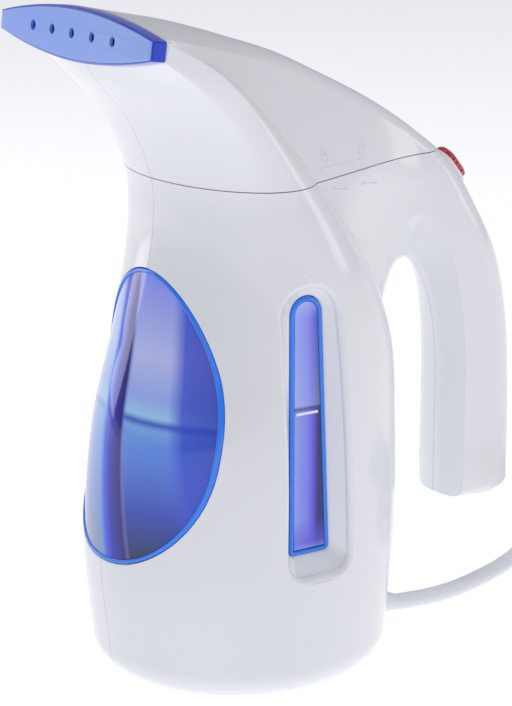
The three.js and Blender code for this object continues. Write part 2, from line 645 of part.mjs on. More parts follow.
const notches = block(-DOME.notch, DOME.notch, -BIG, BIG, 0, domeFoot + DOME.notch);
piece("steam_dome", dome.subtract(notches), INNER_WHITE, 0.4);
const thermostatTop = plateLow - GAP;
const thermostat = rod(THERMOSTAT.r, thermostatTop - THERMOSTAT.height, thermostatTop, 0, MOUTH_Y, 20);
piece("thermostat", thermostat, STEEL, 0.3, 1);
const fuse = new THREE.CylinderGeometry(FUSE.r, FUSE.r, FUSE.length, 12).rotateZ(Math.PI / 2);
piece("thermal_fuse", solid(fuse.translate(0, MOUTH_Y + FUSE.y, thermostatTop - FUSE.r)), "#e6dccb", 0.5);
const floorZ = ledgeTop + GAP;
const { halfX: blockHalf, y0: blockY0, y1: blockY1, height: blockHeight } = TERMINALS;
const terminalBlock = block(-blockHalf, blockHalf, blockY0, blockY1, floorZ, floorZ + blockHeight);
piece("terminal_block", terminalBlock, INNER_WHITE, 0.5);
for (const [side, name, color] of [
  [1, "live_lead", "#7a4a2a"],
  [-1, "neutral_lead", "#2a4a9a"],
]) {
  const leadZ = floorZ + blockHeight / 2;
  const lead = tube(
    [
      [side * 7, blockY1 + GAP, leadZ],
      [side * 7, blockY1 + 5, leadZ + 1],
      [side * 6.4, MOUTH_Y - ELEMENT.ring + 0.5, elementZ - ELEMENT.r - 7],
      [side * 6.2, MOUTH_Y - ELEMENT.ring + 1, elementZ - ELEMENT.r - GAP],
    ],
    1,
    6,
    6,
  );
  piece(name, solid(lead), color, 0.6);
}
const clampBar = block(-CLAMP.halfX, CLAMP.halfX, CLAMP.y0, CLAMP.y1, floorZ, floorZ + CLAMP.height);
const clampMiddle = (CLAMP.y0 + CLAMP.y1) / 2;
const clampHoles = [-1, 1].map((side) =>
  rod(CLAMP_SCREW.shank + GAP, floorZ + 1, BIG, side * CLAMP.screw, clampMiddle, 12),
);
piece("cord_clamp", clampBar.subtract(clampHoles[0]).subtract(clampHoles[1]), INNER_WHITE, 0.5);
[-1, 1].forEach((side, i) => {
  const headLow = floorZ + CLAMP.height + GAP;
  const headTop = headLow + CLAMP_SCREW.headThick;
  const shank = rod(CLAMP_SCREW.shank, floorZ + 1 + GAP, headTop - GAP, side * CLAMP.screw, clampMiddle, 12);
  const screw = rod(CLAMP_SCREW.head, headLow, headTop, side * CLAMP.screw, clampMiddle, 14).add(shank);
  piece(`clamp_screw_${i + 1}`, screw, STEEL, 0.3, 1);
});

// ---------------- body deck: closes the body's top, with the bayonet collar
// A flat plate that fills the casing's hollow at height z, a gap clear of the wall.
const PLATE_SPARE = 0.15; // the plate's facets are coarser than the wall's, so it stands off this much more
function plateInHollow(z0, z1) {
  const slab = block(-BIG, BIG, -BIG, BIG, z0, z1);
  const lobe = housing(20, 12, 0, HOUSING_LAST - 0.2, WALL + GAP + PLATE_SPARE);
  const tail = fin(16, 14, 0.02, 0.98, WALL + GAP + PLATE_SPARE);
  return lobe.add(tail).intersect(slab);
}
// A sector of a ring about the mouth's axis, centred on the angle given in degrees.
function sector(rIn, rOut, z0, z1, middle, arc) {
  const shape = new THREE.Shape();
  const from = (middle - arc / 2) * RAD;
  const to = (middle + arc / 2) * RAD;
  shape.absarc(0, 0, rOut, from, to, false);
  shape.absarc(0, 0, rIn, to, from, true);
  return solid(prism(shape, z1 - z0, 8).translate(0, MOUTH_Y, z0));
}
const deckTop = PART_Z - 2 * GAP;
// Radii follow the tank's mouth: the seal lies over its neck, the collar is round the seal, the lugs inside it.
const sealR = neckR + SEAL.overhang;
const collarIn = sealR + SEAL.spare;
const lugReach = collarIn - 2 * GAP;
const bayonetOut = lugReach - LUGS.depth;
const bayonetIn = bayonetOut - BAYONET.wall;
const MERGE = 0.5; // how far two parts of one solid run into each other
let deck = plateInHollow(deckTop - DECK.thick, deckTop).subtract(switchOpening);
deck = deck.add(rod(collarIn + DECK.collarWall, DECK.foot, deckTop, 0, MOUTH_Y, 40));
deck = deck.subtract(rod(collarIn, DECK.foot - THROUGH, BIG, 0, MOUTH_Y, 40));
const ledgeLow = deckTop - DECK.ledgeThick;
for (let i = 0; i < LUGS.count; i++) {
  const middle = 90 + (i * 360) / LUGS.count;
  deck = deck.add(sector(bayonetOut + 2 * GAP, collarIn + MERGE, ledgeLow, deckTop, middle, LUGS.ledgeArc));
}
piece("body_deck", deck, WHITE, 0.4);

// ---------------- head: floor, bayonet ring, seal, baffle
const floorLow = PART_Z + 2 * GAP;
const headFloor = plateInHollow(floorLow, floorLow + DECK.thick).subtract(
  rod(bayonetOut + GAP, 0, BIG, 0, MOUTH_Y, 40),
);
piece("head_floor", headFloor, WHITE, 0.4);
const flangeLow = floorLow + DECK.thick + GAP;
const flangeTop = flangeLow + BAYONET.flangeThick;
const sealLow = MOUTH.seat + SEAL.rest;
const bayonetFoot = sealLow + SEAL.thick + GAP;
const bayonetSleeve = ring(bayonetIn, bayonetOut, bayonetFoot, flangeTop, 40, 0, MOUTH_Y);
const flange = ring(bayonetIn, bayonetOut + BAYONET.flangeWidth, flangeLow, flangeTop, 40, 0, MOUTH_Y);
let bayonet = bayonetSleeve.add(flange);
const lugTop = ledgeLow - GAP;
for (let i = 0; i < LUGS.count; i++) {
  const middle = 90 + (i * 360) / LUGS.count;
  const lug = sector(bayonetOut - MERGE, lugReach, lugTop - LUGS.thick, lugTop, middle, LUGS.arc);
  bayonet = bayonet.add(lug);
}
piece("bayonet_ring", bayonet, INNER_WHITE, 0.4);
const mouthSeal = ring(MOUTH.throat - SEAL.overhang, sealR, sealLow, sealLow + SEAL.thick, 36, 0, MOUTH_Y);
piece("mouth_seal", mouthSeal, "#c9ced6", 0.8);
const baffleLow = flangeTop + GAP;
let baffle = rod(bayonetIn + BAFFLE.overhang, baffleLow, baffleLow + BAFFLE.thick, 0, MOUTH_Y, 36);
for (let i = 0; i < BAFFLE.holes; i++) {
  const angle = (i * 2 * Math.PI) / BAFFLE.holes;
  const x = BAFFLE.ring * Math.cos(angle);
  const y = MOUTH_Y + BAFFLE.ring * Math.sin(angle);
  baffle = baffle.subtract(rod(BAFFLE.hole, 0, BIG, x, y, 10));
}
piece("splash_baffle", baffle, INNER_WHITE, 0.4);

// ---------------- nozzle plate with a row of steam holes, gasket and duct
const nozzleUp = new THREE.Vector3(0, Math.sin(NOZZLE.tilt * RAD), Math.cos(NOZZLE.tilt * RAD));
const nozzleOut = new THREE.Vector3(0, -Math.cos(NOZZLE.tilt * RAD), Math.sin(NOZZLE.tilt * RAD));
const nozzleFace = new THREE.Vector3(0, NOZZLE.y, NOZZLE.z);
let nozzlePlate = leafSolid(0, NOZZLE.thick, 0);
for (let i = 0; i < HOLES.count; i++) {
  const x = (i - (HOLES.count - 1) / 2) * HOLES.pitch;
  const bore = new THREE.CylinderGeometry(HOLES.r, HOLES.r, 4 * NOZZLE.thick, 12);
  const turn = new THREE.Quaternion().setFromUnitVectors(new THREE.Vector3(0, 1, 0), nozzleOut);
  bore.applyQuaternion(turn).translate(x, NOZZLE.y, NOZZLE.z);
  nozzlePlate = nozzlePlate.subtract(solid(bore));
}
piece("nozzle_plate", nozzlePlate, "#7c9ff5", 0.35);

// The duct's section at t from the baffle (t = 0, round) to the nozzle (t = 1, a flat oval), set in by inset.
const ductFoot = new THREE.Vector3(0, MOUTH_Y, baffleLow + BAFFLE.thick + GAP);
const ductEnd = nozzleFace.clone().addScaledVector(nozzleOut, -(NOZZLE.thick + GAP + DUCT.gasket + GAP));
const ductPath = new THREE.CubicBezierCurve3(
  ductFoot,
  ductFoot.clone().add(new THREE.Vector3(0, -3, 22)),
  ductEnd.clone().addScaledVector(nozzleOut, -22),
  ductEnd,
);
const ductFootR = bayonetIn - DUCT.footIn;
const ductEndHalf = (NOZZLE.up + NOZZLE.down) / 2 - WALL - DUCT.spare;
function duct(inset, from, to) {
  const at = (t) => from + (to - from) * t;
  const centre = (t) => ductPath.getPoint(at(t)).setX(0);
  const place = (t, angle) => {
    const u = THREE.MathUtils.clamp(at(t), 0, 1);
    const wide = THREE.MathUtils.smoothstep(u, 0.1, 1);
    const halfX = THREE.MathUtils.lerp(ductFootR, DUCT.halfX, wide) - inset;
    const halfUp = THREE.MathUtils.lerp(ductFootR, ductEndHalf, Math.sqrt(u)) - inset;
    const lean = THREE.MathUtils.lerp(0, 90 - NOZZLE.tilt, THREE.MathUtils.smoothstep(u, 0, 1)) * RAD;
    const across = new THREE.Vector3(0, -Math.cos(lean), -Math.sin(lean));
    return centre(t).addScaledVector(across, halfUp * Math.cos(angle)).setX(halfX * Math.sin(angle));
  };
  return lofted(20, 9, place, centre);
}
piece("steam_duct", duct(0, 0, 1).subtract(duct(DUCT.wall, -0.03, 1.03)), INNER_WHITE, 0.4);
const gasketBack = NOZZLE.thick + GAP + DUCT.gasket;
const GASKET_RIM = { outer: 1, inner: 4 }; // the gasket's edges, in from the casing's wall
const gasketRing = leafSolid(WALL + GASKET_RIM.outer, gasketBack, -(NOZZLE.thick + GAP)).subtract(
  leafSolid(WALL + GASKET_RIM.inner, gasketBack + THROUGH, 0),
);
piece("nozzle_gasket", gasketRing, "#c9ced6", 0.8);

// ---------------- cord: free tube, coil and plug
const coilCentre = new THREE.Vector2(CORD.coilX, CORD.coilY);
const outerTurn = CORD.coil + ((CORD.columns - 1) / 2) * 2 * CORD.r;
const coilIn = CORD.coil - CORD.columns * CORD.r;
const coilOut = CORD.coil + CORD.columns * CORD.r;
const coilTop = CORD.lift + CORD.layers * 2 * CORD.r;
const coil = (spare) =>
  ring(coilIn - spare, coilOut + spare, CORD.lift - spare, coilTop + spare, 48, CORD.coilX, CORD.coilY);
piece("cord_coil", coil(0), WHITE, 0.5);

function onTurn(angle, z) {
  return [
    coilCentre.x + outerTurn * Math.cos(angle * RAD),
    coilCentre.y + outerTurn * Math.sin(angle * RAD),
    z,
  ];
}
const reliefTip = reliefStart.clone().addScaledVector(reliefAxis, RELIEF.length + GAP);
const beyondTip = reliefTip.clone().addScaledVector(reliefAxis, 2);
const route = [
  reliefTip.toArray(),
  beyondTip.toArray(),
  [2.8, 71.5, CORD_Z + 0.1],
  [3.6, 79, CORD_Z],
  [3.4, 89, CORD_Z],
  [1.6, 99, CORD_Z],
  [-1, 108, CORD_Z],
  [-4, 117, CORD_Z],
  [-8, 126.5, CORD_Z],
  [-13, 136, CORD_Z],
  [-18.5, 145, CORD_Z],
  onTurn(JOIN, CORD_Z),
  onTurn(JOIN - 14, CORD_Z),
];
const cordTube = solid(tube(route, CORD.r, CORD.sides, 14));
piece("power_cord", cordTube.subtract(coil(GAP)), WHITE, 0.5);

// The tail rises off the top turn and bends inwards to the plug, which lies on the coil.
const plugZ = coilTop + GAP + PLUG.halfHigh;
const topTurnZ = CORD_Z + (CORD.layers - 1) * 2 * CORD.r;
const tailStart = onTurn(LEAVE, topTurnZ);
const tail = Array.from({ length: TAIL.steps + 1 }, (_, i) => {
  const turn = (i / TAIL.steps) * TAIL.turn * RAD;
  const rise = THREE.MathUtils.smoothstep(i / TAIL.steps, 0, 1) * (plugZ - topTurnZ);
  return [
    tailStart[0] + TAIL.r * Math.sin(turn),
    tailStart[1] - TAIL.r * (1 - Math.cos(turn)),
    topTurnZ + rise,
  ];
});
const plugFrame = new THREE.Matrix4()
  .makeRotationZ(-TAIL.turn * RAD)
  .setPosition(...tail[TAIL.steps]);
tail.push(new THREE.Vector3(TAIL.straight, 0, 0).applyMatrix4(plugFrame).toArray());
piece("cord_tail", solid(tube(tail, CORD.r, CORD.sides, 9)).subtract(coil(GAP)), WHITE, 0.5);
const plugRelief = new THREE.CylinderGeometry(reliefR + PLUG.flare, CORD.r + RELIEF.tip, PLUG.relief, 14)
  .rotateZ(-Math.PI / 2)
  .translate(TAIL.straight + GAP + PLUG.relief / 2, 0, 0);
const bodyFrom = TAIL.straight + PLUG.relief - MERGE;
const plugBlock = new THREE.BoxGeometry(PLUG.length, 2 * PLUG.halfWide, 2 * PLUG.halfHigh)
  .translate(bodyFrom + PLUG.length / 2, 0, 0);
const plugBody = solid(plugRelief.applyMatrix4(plugFrame)).add(solid(plugBlock.applyMatrix4(plugFrame)));
piece("plug_body", plugBody, WHITE, 0.5);
[-1, 1].forEach((side, i) => {
  const blade = new THREE.BoxGeometry(BLADE.length, BLADE.thick, 2 * BLADE.half)
    .translate(bodyFrom + PLUG.length + GAP + BLADE.length / 2, (side * BLADE.pitch) / 2, 0)
    .applyMatrix4(plugFrame);
  piece(`plug_blade_${i + 1}`, solid(blade), BRASS, 0.3, 1);
});

const steamer = new THREE.Group();
steamer.add(...pieces);
export default steamer;
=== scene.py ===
import json
import math

import bmesh
import bpy
from mathutils import Matrix, Vector
from mathutils.bvhtree import BVHTree
from mathutils.interpolate import poly_3d_calc

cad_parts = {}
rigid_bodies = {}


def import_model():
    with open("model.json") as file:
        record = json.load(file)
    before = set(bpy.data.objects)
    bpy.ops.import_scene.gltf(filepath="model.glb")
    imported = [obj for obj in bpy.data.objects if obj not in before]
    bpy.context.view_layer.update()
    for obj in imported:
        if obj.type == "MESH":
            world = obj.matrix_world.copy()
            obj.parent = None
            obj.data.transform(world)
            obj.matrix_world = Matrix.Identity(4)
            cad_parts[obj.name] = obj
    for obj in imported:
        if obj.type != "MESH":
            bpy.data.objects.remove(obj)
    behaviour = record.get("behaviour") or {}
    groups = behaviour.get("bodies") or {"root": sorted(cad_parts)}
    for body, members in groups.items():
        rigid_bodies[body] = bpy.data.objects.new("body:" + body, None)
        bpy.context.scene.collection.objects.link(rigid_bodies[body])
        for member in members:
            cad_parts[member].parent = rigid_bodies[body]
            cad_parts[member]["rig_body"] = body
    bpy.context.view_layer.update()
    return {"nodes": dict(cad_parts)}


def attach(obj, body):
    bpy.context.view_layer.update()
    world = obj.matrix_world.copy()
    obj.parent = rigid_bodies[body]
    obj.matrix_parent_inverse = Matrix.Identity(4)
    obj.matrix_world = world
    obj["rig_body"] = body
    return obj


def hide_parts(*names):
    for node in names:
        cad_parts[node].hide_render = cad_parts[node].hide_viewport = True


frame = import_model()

# ------------------------------------------------------------------ studio: camera, floor and lights
# A pale floor, which gives a little light of its own, under large softboxes: the white plastic takes its
# greys from the gaps between them.
MM = 0.001
GAP = 0.3
scene = bpy.context.scene
scene.view_settings.view_transform = "Standard"


def linear(hex_colour):
    """An sRGB hex colour as linear red, green, blue and alpha."""
    channels = [int(hex_colour[i : i + 2], 16) / 255 for i in (1, 3, 5)]
    return [c / 12.92 if c <= 0.04045 else ((c + 0.055) / 1.055) ** 2.4 for c in channels] + [1.0]


def add_node(material, kind, links=None, **settings):
    """Adds a node, sets its inputs and properties, and links inputs named in links from (node, output)."""
    node = material.node_tree.nodes.new("ShaderNode" + kind)
    for name, value in settings.items():
        if name in node.inputs.keys():
            node.inputs[name].default_value = value
        else:
            setattr(node, name, value)
    for name, (source, output) in (links or {}).items():
        material.node_tree.links.new(source.outputs[output], node.inputs[name])
    return node


camera_data = bpy.data.cameras.new("studio_camera")
camera_data.sensor_width = 36
camera_data.lens = 111.8
camera_data.clip_end = 20
camera = bpy.data.objects.new("studio_camera", camera_data)
camera.location = Vector((608.1, -384.2, 304.6)) * MM
camera.rotation_euler = Vector((-0.811, 0.522, -0.264)).to_track_quat("-Z", "Y").to_euler()
scene.collection.objects.link(camera)
scene.camera = camera

floor_mesh = bmesh.new()
bmesh.ops.create_circle(floor_mesh, cap_ends=True, segments=96, radius=5)
bmesh.ops.translate(floor_mesh, verts=floor_mesh.verts, vec=(0, 0, -0.0002))
floor_data = bpy.data.meshes.new("floor")
floor_mesh.to_mesh(floor_data)
floor_mesh.free()
floor = bpy.data.objects.new("floor", floor_data)
scene.collection.objects.link(floor)
paper = bpy.data.materials.new("matte_backdrop_paper")
paper.use_nodes = True
paper_shader = paper.node_tree.nodes["Principled BSDF"]
paper_shader.inputs["Base Color"].default_value = linear("#fbfbfc")
paper_shader.inputs["Roughness"].default_value = 0.9
paper_shader.inputs["Emission Color"].default_value = linear("#ffffff")
paper_shader.inputs["Emission Strength"].default_value = 0.45
floor_data.materials.append(paper)

world = bpy.data.worlds.new("studio_walls")
world.use_nodes = True
world.node_tree.nodes["Background"].inputs["Color"].default_value = linear("#e9ebf2")
world.node_tree.nodes["Background"].inputs["Strength"].default_value = 0.42
scene.world = world


def softbox(name, place, aim, width, height, power):
    light = bpy.data.lights.new(name, "AREA")
    light.shape = "RECTANGLE"
    light.size = width
    light.size_y = height
    light.energy = power
    lamp = bpy.data.objects.new(name, light)
    lamp.location = place
    lamp.rotation_euler = (Vector(aim) - Vector(place)).to_track_quat("-Z", "Y").to_euler()
    scene.collection.objects.link(lamp)


CENTRE = (0, 0, 0.12)
softbox("front_softbox", (1.15, -0.95, 0.9), CENTRE, 0.5, 1.0, 2.2)
softbox("top_softbox", (0.1, 0.1, 1.6), CENTRE, 1.2, 1.2, 4.5)
softbox("back_softbox", (-1.2, -0.5, 0.6), CENTRE, 0.5, 1.2, 3.5)
softbox("handle_softbox", (0.5, 1.3, 0.7), CENTRE, 0.5, 1.2, 3)


# ------------------------------------------------------------------ mains cord
# Two-core flex in soft white PVC, 6.2 mm across: it leaves the strain relief at the rear of the base,
# lies on the floor in a bend and is wound into a coil of four layers of three turns, the last cut short.
CORD_RADIUS = 3.1
CORD_LIFT = 0.1
COIL_CENTRE = Vector((9, 173, 0))
COIL_RADIUS = 32.5
COIL_COLUMNS = 3
COIL_LAYERS = 4
COIL_STEPS = 24
CORD_Z = CORD_RADIUS + CORD_LIFT
RELIEF_FOOT = Vector((0.6, 43.5, 8.8))
RELIEF_AXIS = Vector((1.4, 20.6, -4.7)).normalized()
RELIEF_LENGTH = 21
PLUG_HALF_HIGH = 6.5
relief_tip = RELIEF_FOOT + RELIEF_AXIS * (RELIEF_LENGTH + GAP)
floor_route = [
    relief_tip,
    relief_tip + RELIEF_AXIS * 2,
    Vector((2.8, 71.5, CORD_Z + 0.1)),
    Vector((3.6, 79, CORD_Z)),
    Vector((3.4, 89, CORD_Z)),
    Vector((1.6, 99, CORD_Z)),
    Vector((-1, 108, CORD_Z)),
    Vector((-4, 117, CORD_Z)),
    Vector((-8, 126.5, CORD_Z)),
    Vector((-13, 136, CORD_Z)),
    Vector((-18.5, 145, CORD_Z)),
]


def coil_point(degrees, column, layer):
    radius = COIL_RADIUS + (column - (COIL_COLUMNS - 1) / 2) * 2 * CORD_RADIUS
    turn = math.radians(degrees)
    height = CORD_Z + layer * 2 * CORD_RADIUS
    return COIL_CENTRE + Vector((radius * math.cos(turn), radius * math.sin(turn), height))


# Each turn starts in its own place in the coil's section and slides over to the next place by its end.
JOIN = 206
LEAVE = 90
places = []
for layer in range(COIL_LAYERS):
    columns = range(COIL_COLUMNS)
    places += [(column, layer) for column in (reversed(columns) if layer % 2 == 0 else columns)]
SHIFT_STEPS = 16
LAST_STEPS = 8  # the last turn leaves for the plug after a third of its way round
coil_route = []
for turn, (column, layer) in enumerate(places):
    last = turn + 1 == len(places)
    following = (column, layer) if last else places[turn + 1]
    for step in range(LAST_STEPS if last else COIL_STEPS):
        share = max(0, step - (COIL_STEPS - SHIFT_STEPS)) / SHIFT_STEPS
        share = share * share * (3 - 2 * share)
        degrees = JOIN - (turn * COIL_STEPS + step) * 360 / COIL_STEPS
        here = coil_point(degrees, column, layer)
        coil_route.append(here.lerp(coil_point(degrees, *following), share))
outer_last = (COIL_COLUMNS - 1, COIL_LAYERS - 1)
TAIL_BEND = 30
TAIL_TURN = 58
TAIL_STEPS = 6
coil_top = CORD_LIFT + COIL_LAYERS * 2 * CORD_RADIUS
plug_height = coil_top + GAP + PLUG_HALF_HIGH
end_turn = coil_point(LEAVE, *outer_last)
tail_route = []
for step in range(TAIL_STEPS + 1):
    turn = math.radians(step / TAIL_STEPS * TAIL_TURN)
    share = step / TAIL_STEPS
    rise = share * share * (3 - 2 * share) * (plug_height - end_turn.z)
    bend = Vector((TAIL_BEND * math.sin(turn), -TAIL_BEND * (1 - math.cos(turn)), rise))
    tail_route.append(end_turn + bend)
plug_heading = Vector((math.cos(math.radians(TAIL_TURN)), -math.sin(math.radians(TAIL_TURN)), 0))
tail_route.append(tail_route[-1] + plug_heading * 3)

cord_route = floor_route + coil_route + tail_route
cord_curve = bpy.data.curves.new("mains_cord", "CURVE")
cord_curve.dimensions = "3D"
cord_curve.resolution_u = 4
cord_curve.bevel_depth = CORD_RADIUS * MM
cord_curve.bevel_resolution = 8
cord_curve.use_fill_caps = True
strand = cord_curve.splines.new("BEZIER")
strand.bezier_points.add(len(cord_route) - 1)
for knot, point in zip(strand.bezier_points, cord_route):
    knot.co = point * MM
    knot.handle_left_type = knot.handle_right_type = "AUTO"
mains_cord = bpy.data.objects.new("mains_cord", cord_curve)
scene.collection.objects.link(mains_cord)


def finish(name, base, roughness, **extra):
    """A Principled material with its even values set on the shader itself."""
    material = bpy.data.materials.new(name)
    material.use_nodes = True
    shader = material.node_tree.nodes["Principled BSDF"]
    shader.inputs["Base Color"].default_value = linear(base)
    shader.inputs["Roughness"].default_value = roughness
    for socket, value in extra.items():
        shader.inputs[socket.replace("_", " ")].default_value = value
    return material


def grained(material, size_mm, depth_mm, strength=1.0, detail=2.0):
    """A fine even bump of the given grain size, on the object's own coordinates."""
    where = add_node(material, "TexCoord")
    scale = 1 / (size_mm * MM)
    noise = add_node(material, "TexNoise", {"Vector": (where, "Object")}, Scale=scale, Detail=detail)
    bump = add_node(material, "Bump", {"Height": (noise, "Fac")}, Strength=strength, Distance=depth_mm * MM)
    shader = material.node_tree.nodes["Principled BSDF"]
    material.node_tree.links.new(bump.outputs["Normal"], shader.inputs["Normal"])


# Soft PVC sheath: extruded, so it is smooth but dull, with a slight waxy sheen.
pvc = finish("soft_white_pvc", "#eceef2", 0.42, IOR=1.52)
grained(pvc, 1.2, 0.05)
cord_curve.materials.append(pvc)
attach(mains_cord, "body")
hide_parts("power_cord", "cord_coil", "cord_tail")
for name in ("plug_body", "strain_relief"):
    frame["nodes"][name].data.materials.clear()
    frame["nodes"][name].data.materials.append(pvc)


# ------------------------------------------------------------------ casing: the form shared by its shells
# The shells are injection-moulded in polished white ABS. The tank housing is an upright ellipse that
# sweeps forward into the nozzle; the fin behind it carries the handle round the finger gap.
WALL = 2.4
PART_Z = 171.6
BASE_FILLET = 11.5
# half width, front y, front z, rear y, rear z
HOUSING = [
    (50.3, -51.6, 11.5, 51.6, 11.5),
    (51.2, -54.6, 45, 55.2, 45),
    (51.8, -50.5, 85, 54.2, 85),
    (50.2, -42, 115, 51.5, 115),
    (47.6, -35, 142, 40, 142),
    (45.9, -32.6, 158, 29, 158),
    (44.4, -33.3, 171.6, 18, 171.6),
    (45.5, -41.5, 191, -3, 193.5),
    (48.6, -53.4, 205.6, -26, 212.5),
    (49.2, -57.2, 211, -55, 227.7),
]
RIDGE_STEP = 1.6
# spine y, spine z, place along the housing, crown half width, crown depth, crown arc, flank power, step
FIN = [
    (115, 42, 0.9, 13.2, 13, 88, 3.2, 9),
    (114.8, 75, 1.75, 13.2, 13, 88, 3.2, 8),
    (112.4, 109, 2.8, 13.2, 13, 88, 3.2, 6),
    (107, 131.4, 3.6, 13.2, 13, 86, 3, 3),
    (98.1, 148.8, 4.35, 13, 12, 80, 2.6, RIDGE_STEP),
    (85.8, 166.4, 5, 12, 8.5, 70, 1.7, RIDGE_STEP),
    (70.3, 179, 5.55, 11, 6.5, 62, 1.1, RIDGE_STEP),
    (51.5, 191, 6, 12, 6, 55, 1, RIDGE_STEP),
    (26.7, 203.4, 6.5, 14.5, 6, 50, 1, RIDGE_STEP),
    (12, 210, 6.9, 17.5, 6, 48, 1, RIDGE_STEP),
    (-6, 216, 7.3, 23.5, 6, 46, 1, RIDGE_STEP),
    (-27, 222.2, 7.9, 33, 6, 44, 1, RIDGE_STEP),
    (-42, 225.4, 8.45, 41, 5.6, 44, 1, RIDGE_STEP),
    (-55, 227.9, 9, 46, 5, 44, 1, RIDGE_STEP),
]
RIDGE_ARC = math.radians(115)
NOZZLE = Vector((0, -61.3, 220.3))
NOZZLE_TILT = math.radians(7.4)
NOZZLE_HALF = 49.7
NOZZLE_UP = 8.2
NOZZLE_DOWN = 8.7
NOZZLE_END = 0.36
NOZZLE_THICK = 5
LEAF_START = 6
LEAF_POWER = 1.925
LEAF_CORNER = 75
HOUSING_LAST = len(HOUSING) - 1
FIN_LAST = len(FIN) - 1


def through(points, share):
    """The point at a share of the way along an evenly tensioned curve through the points."""
    place = min(max(share, 0), 1) * (len(points) - 1)
    i = min(int(place), len(points) - 2)
    t = place - i
    a = points[i - 1] if i > 0 else points[0] * 2 - points[1]
    b, c = points[i], points[i + 1]
    d = points[i + 2] if i + 2 < len(points) else points[-1] * 2 - points[-2]
    ab, bc, cd = (max((q - p).length ** 0.5, 1e-4) for p, q in ((a, b), (b, c), (c, d)))
    leave = ((b - a) / ab - (c - a) / (ab + bc) + (c - b) / bc) * bc
    reach = ((c - b) / bc - (d - b) / (bc + cd) + (d - c) / cd) * bc
    return (
        b + leave * t + (c * 3 - b * 3 - leave * 2 - reach) * t * t + (b * 2 - c * 2 + leave + reach) * t**3
    )


def eased(t):
    t = min(max(t, 0), 1)
    return t * t * (3 - 2 * t)


front_line = [Vector((w, fy, fz)) for w, fy, fz, ry, rz in HOUSING]
rear_line = [Vector((w, ry, rz)) for w, fy, fz, ry, rz in HOUSING]
spine_line = [Vector((0, y, z)) for y, z, *rest in FIN]


def leaf_point(angle):
    """The nozzle's leaf outline: -1..1 across and up, blunt at both ends."""
    side = math.copysign(1, math.sin(angle))
    up = math.copysign(1, math.cos(angle))
    from_end = math.degrees(math.atan2(abs(math.cos(angle)), abs(math.sin(angle))))
    if 90 - from_end >= LEAF_CORNER:
        return side, up * NOZZLE_END * from_end / (90 - LEAF_CORNER)
    wide = math.sin(math.radians(90 - from_end)) / math.sin(math.radians(LEAF_CORNER))
    return side * wide, up * (1 - (1 - NOZZLE_END) * wide**LEAF_POWER)


def housing_point(s, angle, inset=0.0):
    """A point of the housing: s below 0 is the base fillet, then one unit a station; angle 0 is the front."""
    front = through(front_line, max(s, 0) / HOUSING_LAST)
    rear = through(rear_line, max(s, 0) / HOUSING_LAST)
    turn = max(-s, 0) * math.pi / 2
    fillet = BASE_FILLET * (1 - math.cos(turn))
    along = Vector((0, rear.y - front.y, rear.z - front.z))
    depth = along.length - 2 * (inset + fillet)
    along.normalize()
    start = Vector((0, front.y, front.z - BASE_FILLET * math.sin(turn))) + along * (inset + fillet)
    leaf = eased((s - LEAF_START) / (HOUSING_LAST - LEAF_START))
    leaf_across, leaf_forward = leaf_point(angle)
    across = math.sin(angle) * (1 - leaf) + leaf_across * leaf
    forward = math.cos(angle) * (1 - leaf) + leaf_forward * leaf
    point = start + along * (depth * (1 - forward) / 2)
    point.x = (front.x - inset - fillet) * across
    return point


def fin_value(u, column):
    place = min(max(u, 0), 1) * FIN_LAST
    i = min(int(place), FIN_LAST - 1)
    t = place - i
    return FIN[i][column] * (1 - t) + FIN[i + 1][column] * t


def fin_smooth(u, column, spread=0.35):
    """The column's value, with the kinks at its stations rounded off."""
    width = spread / FIN_LAST
    return sum(fin_value(u + width * k / 4, column) for k in range(-4, 5)) / 9


CROWN_SHARE = 0.4
ROOT_SHARE = 0.9


def fin_point(u, angle, inset=0.0):
    """A point of the fin and handle: angle 180 degrees is the spine."""
    spine = through(spine_line, u)
    root = housing_point(fin_smooth(u, 2), RIDGE_ARC)
    root_half = root.x - fin_smooth(u, 7) - inset
    inward = Vector((0, root.y - spine.y, root.z - spine.z))
    depth = inward.length - inset
    inward.normalize()
    spine = spine + inward * inset
    crown = fin_smooth(u, 3) - inset
    crown_depth = fin_smooth(u, 4)
    share = 1 - abs(angle) / math.pi
    if share <= CROWN_SHARE:
        arc = math.radians(fin_smooth(u, 5))
        turn = share / CROWN_SHARE * arc
        x = crown * math.sin(turn) / math.sin(arc)
        d = crown_depth * (1 - math.cos(turn)) / (1 - math.cos(arc))
    else:
        k = min((share - CROWN_SHARE) / (ROOT_SHARE - CROWN_SHARE), 1)
        d = crown_depth * (1 - k) + depth * k
        x = crown + (root_half - crown) * k ** fin_smooth(u, 6)
        if share > ROOT_SHARE:
            x *= (1 - share) / (1 - ROOT_SHARE)
    point = spine + inward * d
    point.x = math.copysign(x, math.sin(angle)) if x > 1e-9 else 0
    return point


GRIP_FRONT = 51
GRIP_REAR = 84.5
GRIP_SPRING = 86
GRIP_TOP = 133
GRIP_LOW = -20
GRIP_REACH = 33
# growth of the finger gap's sides and top with the square of x, per mm
FLARE_FRONT = 0.022
FLARE_REAR = 0.02
FLARE_TOP = 0.092


